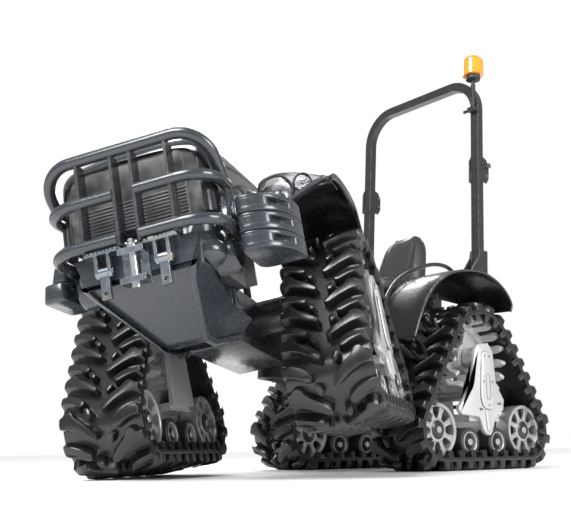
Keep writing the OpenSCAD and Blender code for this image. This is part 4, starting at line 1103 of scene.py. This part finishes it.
class TRACTOR_OT_hood(bpy.types.Operator):
    """Makes the hood, its vents and its mesh"""

    bl_idname = "tractor.hood"
    bl_label = "Hood"

    def execute(self, context):
        make_hood()
        return {"FINISHED"}


class TRACTOR_OT_fenders(bpy.types.Operator):
    """Makes the front and rear fenders and the lamps"""

    bl_idname = "tractor.fenders"
    bl_label = "Fenders and lamps"

    def execute(self, context):
        make_front_fender(1)
        make_front_fender(-1)
        make_rear_fenders()
        return {"FINISHED"}


class TRACTOR_OT_seat(bpy.types.Operator):
    """Makes the seat's cushion and back"""

    bl_idname = "tractor.seat"
    bl_label = "Seat"

    def execute(self, context):
        seat_pad("seat_cushion_pad", (0, -85, 978), (203, 184, 52), -3, "vinyl", ["seat_cushion"], 0.008)
        seat_pad("seat_back_pad", (0, 66, 1170), (186, 40, 186), -14, "vinyl", ["seat_back"], 0.008, 5.0, 0.34)
        return {"FINISHED"}


CARRIED = {
    "chassis": ["rear_chassis", "operator_floor", "seat_base", "lower_links", "brake_pedals", "centre_yoke"],
    "trim": ["console", "steering_wheel", "lift_lever", "beacon_stem"],
    "tube": ["rops_base", "rops_hoop"],
    "zinc": ["rops_pins", "top_link", "tow_brackets", "clevis_links"],
    "steel": ["pto_shaft", "tow_pin"],
    "amber": ["beacon_lens"],
    "graphite": ["bull_bar"],
    "engine": ["engine"],
    "cast": [f"{corner}_{part}" for corner in TRACK for part in ("frame", "sprocket")],
}


class TRACTOR_OT_finishes(bpy.types.Operator):
    """Gives every piece of the frame its finish"""

    bl_idname = "tractor.finishes"
    bl_label = "Finishes"

    def execute(self, context):
        for name, nodes in CARRIED.items():
            for node in nodes:
                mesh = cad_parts[node].data
                mesh.materials.clear()
                mesh.materials.append(finish(name))
        return {"FINISHED"}


class TRACTOR_OT_stage(bpy.types.Operator):
    """Makes the floor, the lights and the camera"""

    bl_idname = "tractor.stage"
    bl_label = "Stage"

    def execute(self, context):
        studio = context.scene.tractor_studio
        angle = np.linspace(0, 2 * np.pi, 96, endpoint=False)
        rim = np.c_[np.cos(angle), np.sin(angle), np.zeros(96)] * studio.floor_radius
        mesh = bpy.data.meshes.new("floor")
        mesh.from_pydata(rim.tolist(), [], [list(range(96))])
        mesh.materials.append(finish("floor"))
        floor = bpy.data.objects.new("floor", mesh)
        context.scene.collection.objects.link(floor)
        surround = bpy.data.worlds.new("surround")
        surround.use_nodes = True
        back = surround.node_tree.nodes["Background"]
        back.inputs["Color"].default_value = (1.0, 1.0, 1.0, 1.0)
        seen = surround.node_tree.nodes.new("ShaderNodeLightPath").outputs["Is Camera Ray"]
        strength = surround.node_tree.nodes.new("ShaderNodeMapRange")
        strength.inputs["To Min"].default_value = studio.sky
        strength.inputs["To Max"].default_value = 1.0
        surround.node_tree.links.new(seen, strength.inputs["Value"])
        surround.node_tree.links.new(strength.outputs[0], back.inputs["Strength"])
        context.scene.world = surround
        context.scene.view_settings.view_transform = "Standard"
        lamps = (
            ("key", (1.5, -4.5, 5.0), 3.2, studio.key_power, (0.2, -0.6, 0.9)),
            ("side", (6.0, 1.0, 3.0), 2.6, studio.key_power * 0.55, (0.3, 0.2, 0.8)),
            ("rim", (-5.0, 3.0, 4.5), 3.0, studio.key_power * 0.6, (0, 0, 0.9)),
        )
        for name, place, size, power, aim in lamps:
            data = bpy.data.lights.new(name, "AREA")
            data.size, data.energy = size, power
            lamp = bpy.data.objects.new(name, data)
            lamp.location = place
            direction = Matrix.Translation(aim).translation - lamp.location
            lamp.rotation_euler = direction.to_track_quat("-Z", "Y").to_euler()
            context.scene.collection.objects.link(lamp)
        data = bpy.data.cameras.new("camera")
        data.lens, data.sensor_width, data.sensor_fit = 57.0, 36.0, "HORIZONTAL"
        camera = bpy.data.objects.new("camera", data)
        turned = (Matrix.Rotation(0.8736, 3, "Z") @ Matrix.Rotation(math.pi / 2 + 0.2064, 3, "X")
                  @ Matrix.Rotation(-0.0138, 3, "Z"))
        camera.matrix_world = Matrix.Translation((3.2976, -2.9224, 0.1099)) @ turned.to_4x4()
        context.scene.collection.objects.link(camera)
        context.scene.camera = camera
        return {"FINISHED"}


class TRACTOR_PT_panel(bpy.types.Panel):
    """Lists the tractor's steps and settings"""

    bl_idname = "TRACTOR_PT_panel"
    bl_label = "Track Tractor"
    bl_space_type = "VIEW_3D"
    bl_region_type = "UI"
    bl_category = "Tractor"

    def draw(self, context):
        column = self.layout.column()
        for step in STEPS:
            column.operator(step.bl_idname)
        for settings in (context.scene.tractor_paint, context.scene.tractor_studio):
            for key in settings.bl_rna.properties.keys():
                if key not in ("rna_type", "name"):
                    column.prop(settings, key)


STEPS = (TRACTOR_OT_finishes, TRACTOR_OT_belts, TRACTOR_OT_wheels, TRACTOR_OT_castings,
         TRACTOR_OT_hood, TRACTOR_OT_fenders,
         TRACTOR_OT_seat, TRACTOR_OT_stage)
CLASSES = (TractorPaint, TractorStudio, *STEPS, TRACTOR_PT_panel)


def register():
    """Registers the classes and their settings."""
    for cls in CLASSES:
        bpy.utils.register_class(cls)
    bpy.types.Scene.tractor_paint = PointerProperty(type=TractorPaint)
    bpy.types.Scene.tractor_studio = PointerProperty(type=TractorStudio)


def unregister():
    """Takes the classes and their settings away again."""
    del bpy.types.Scene.tractor_studio
    del bpy.types.Scene.tractor_paint
    for cls in reversed(CLASSES):
        bpy.utils.unregister_class(cls)


def main():
    """Runs every step."""
    register()
    for step in STEPS:
        group, name = step.bl_idname.split(".")
        getattr(getattr(bpy.ops, group), name)()


if __name__ == "__main__":
    main()
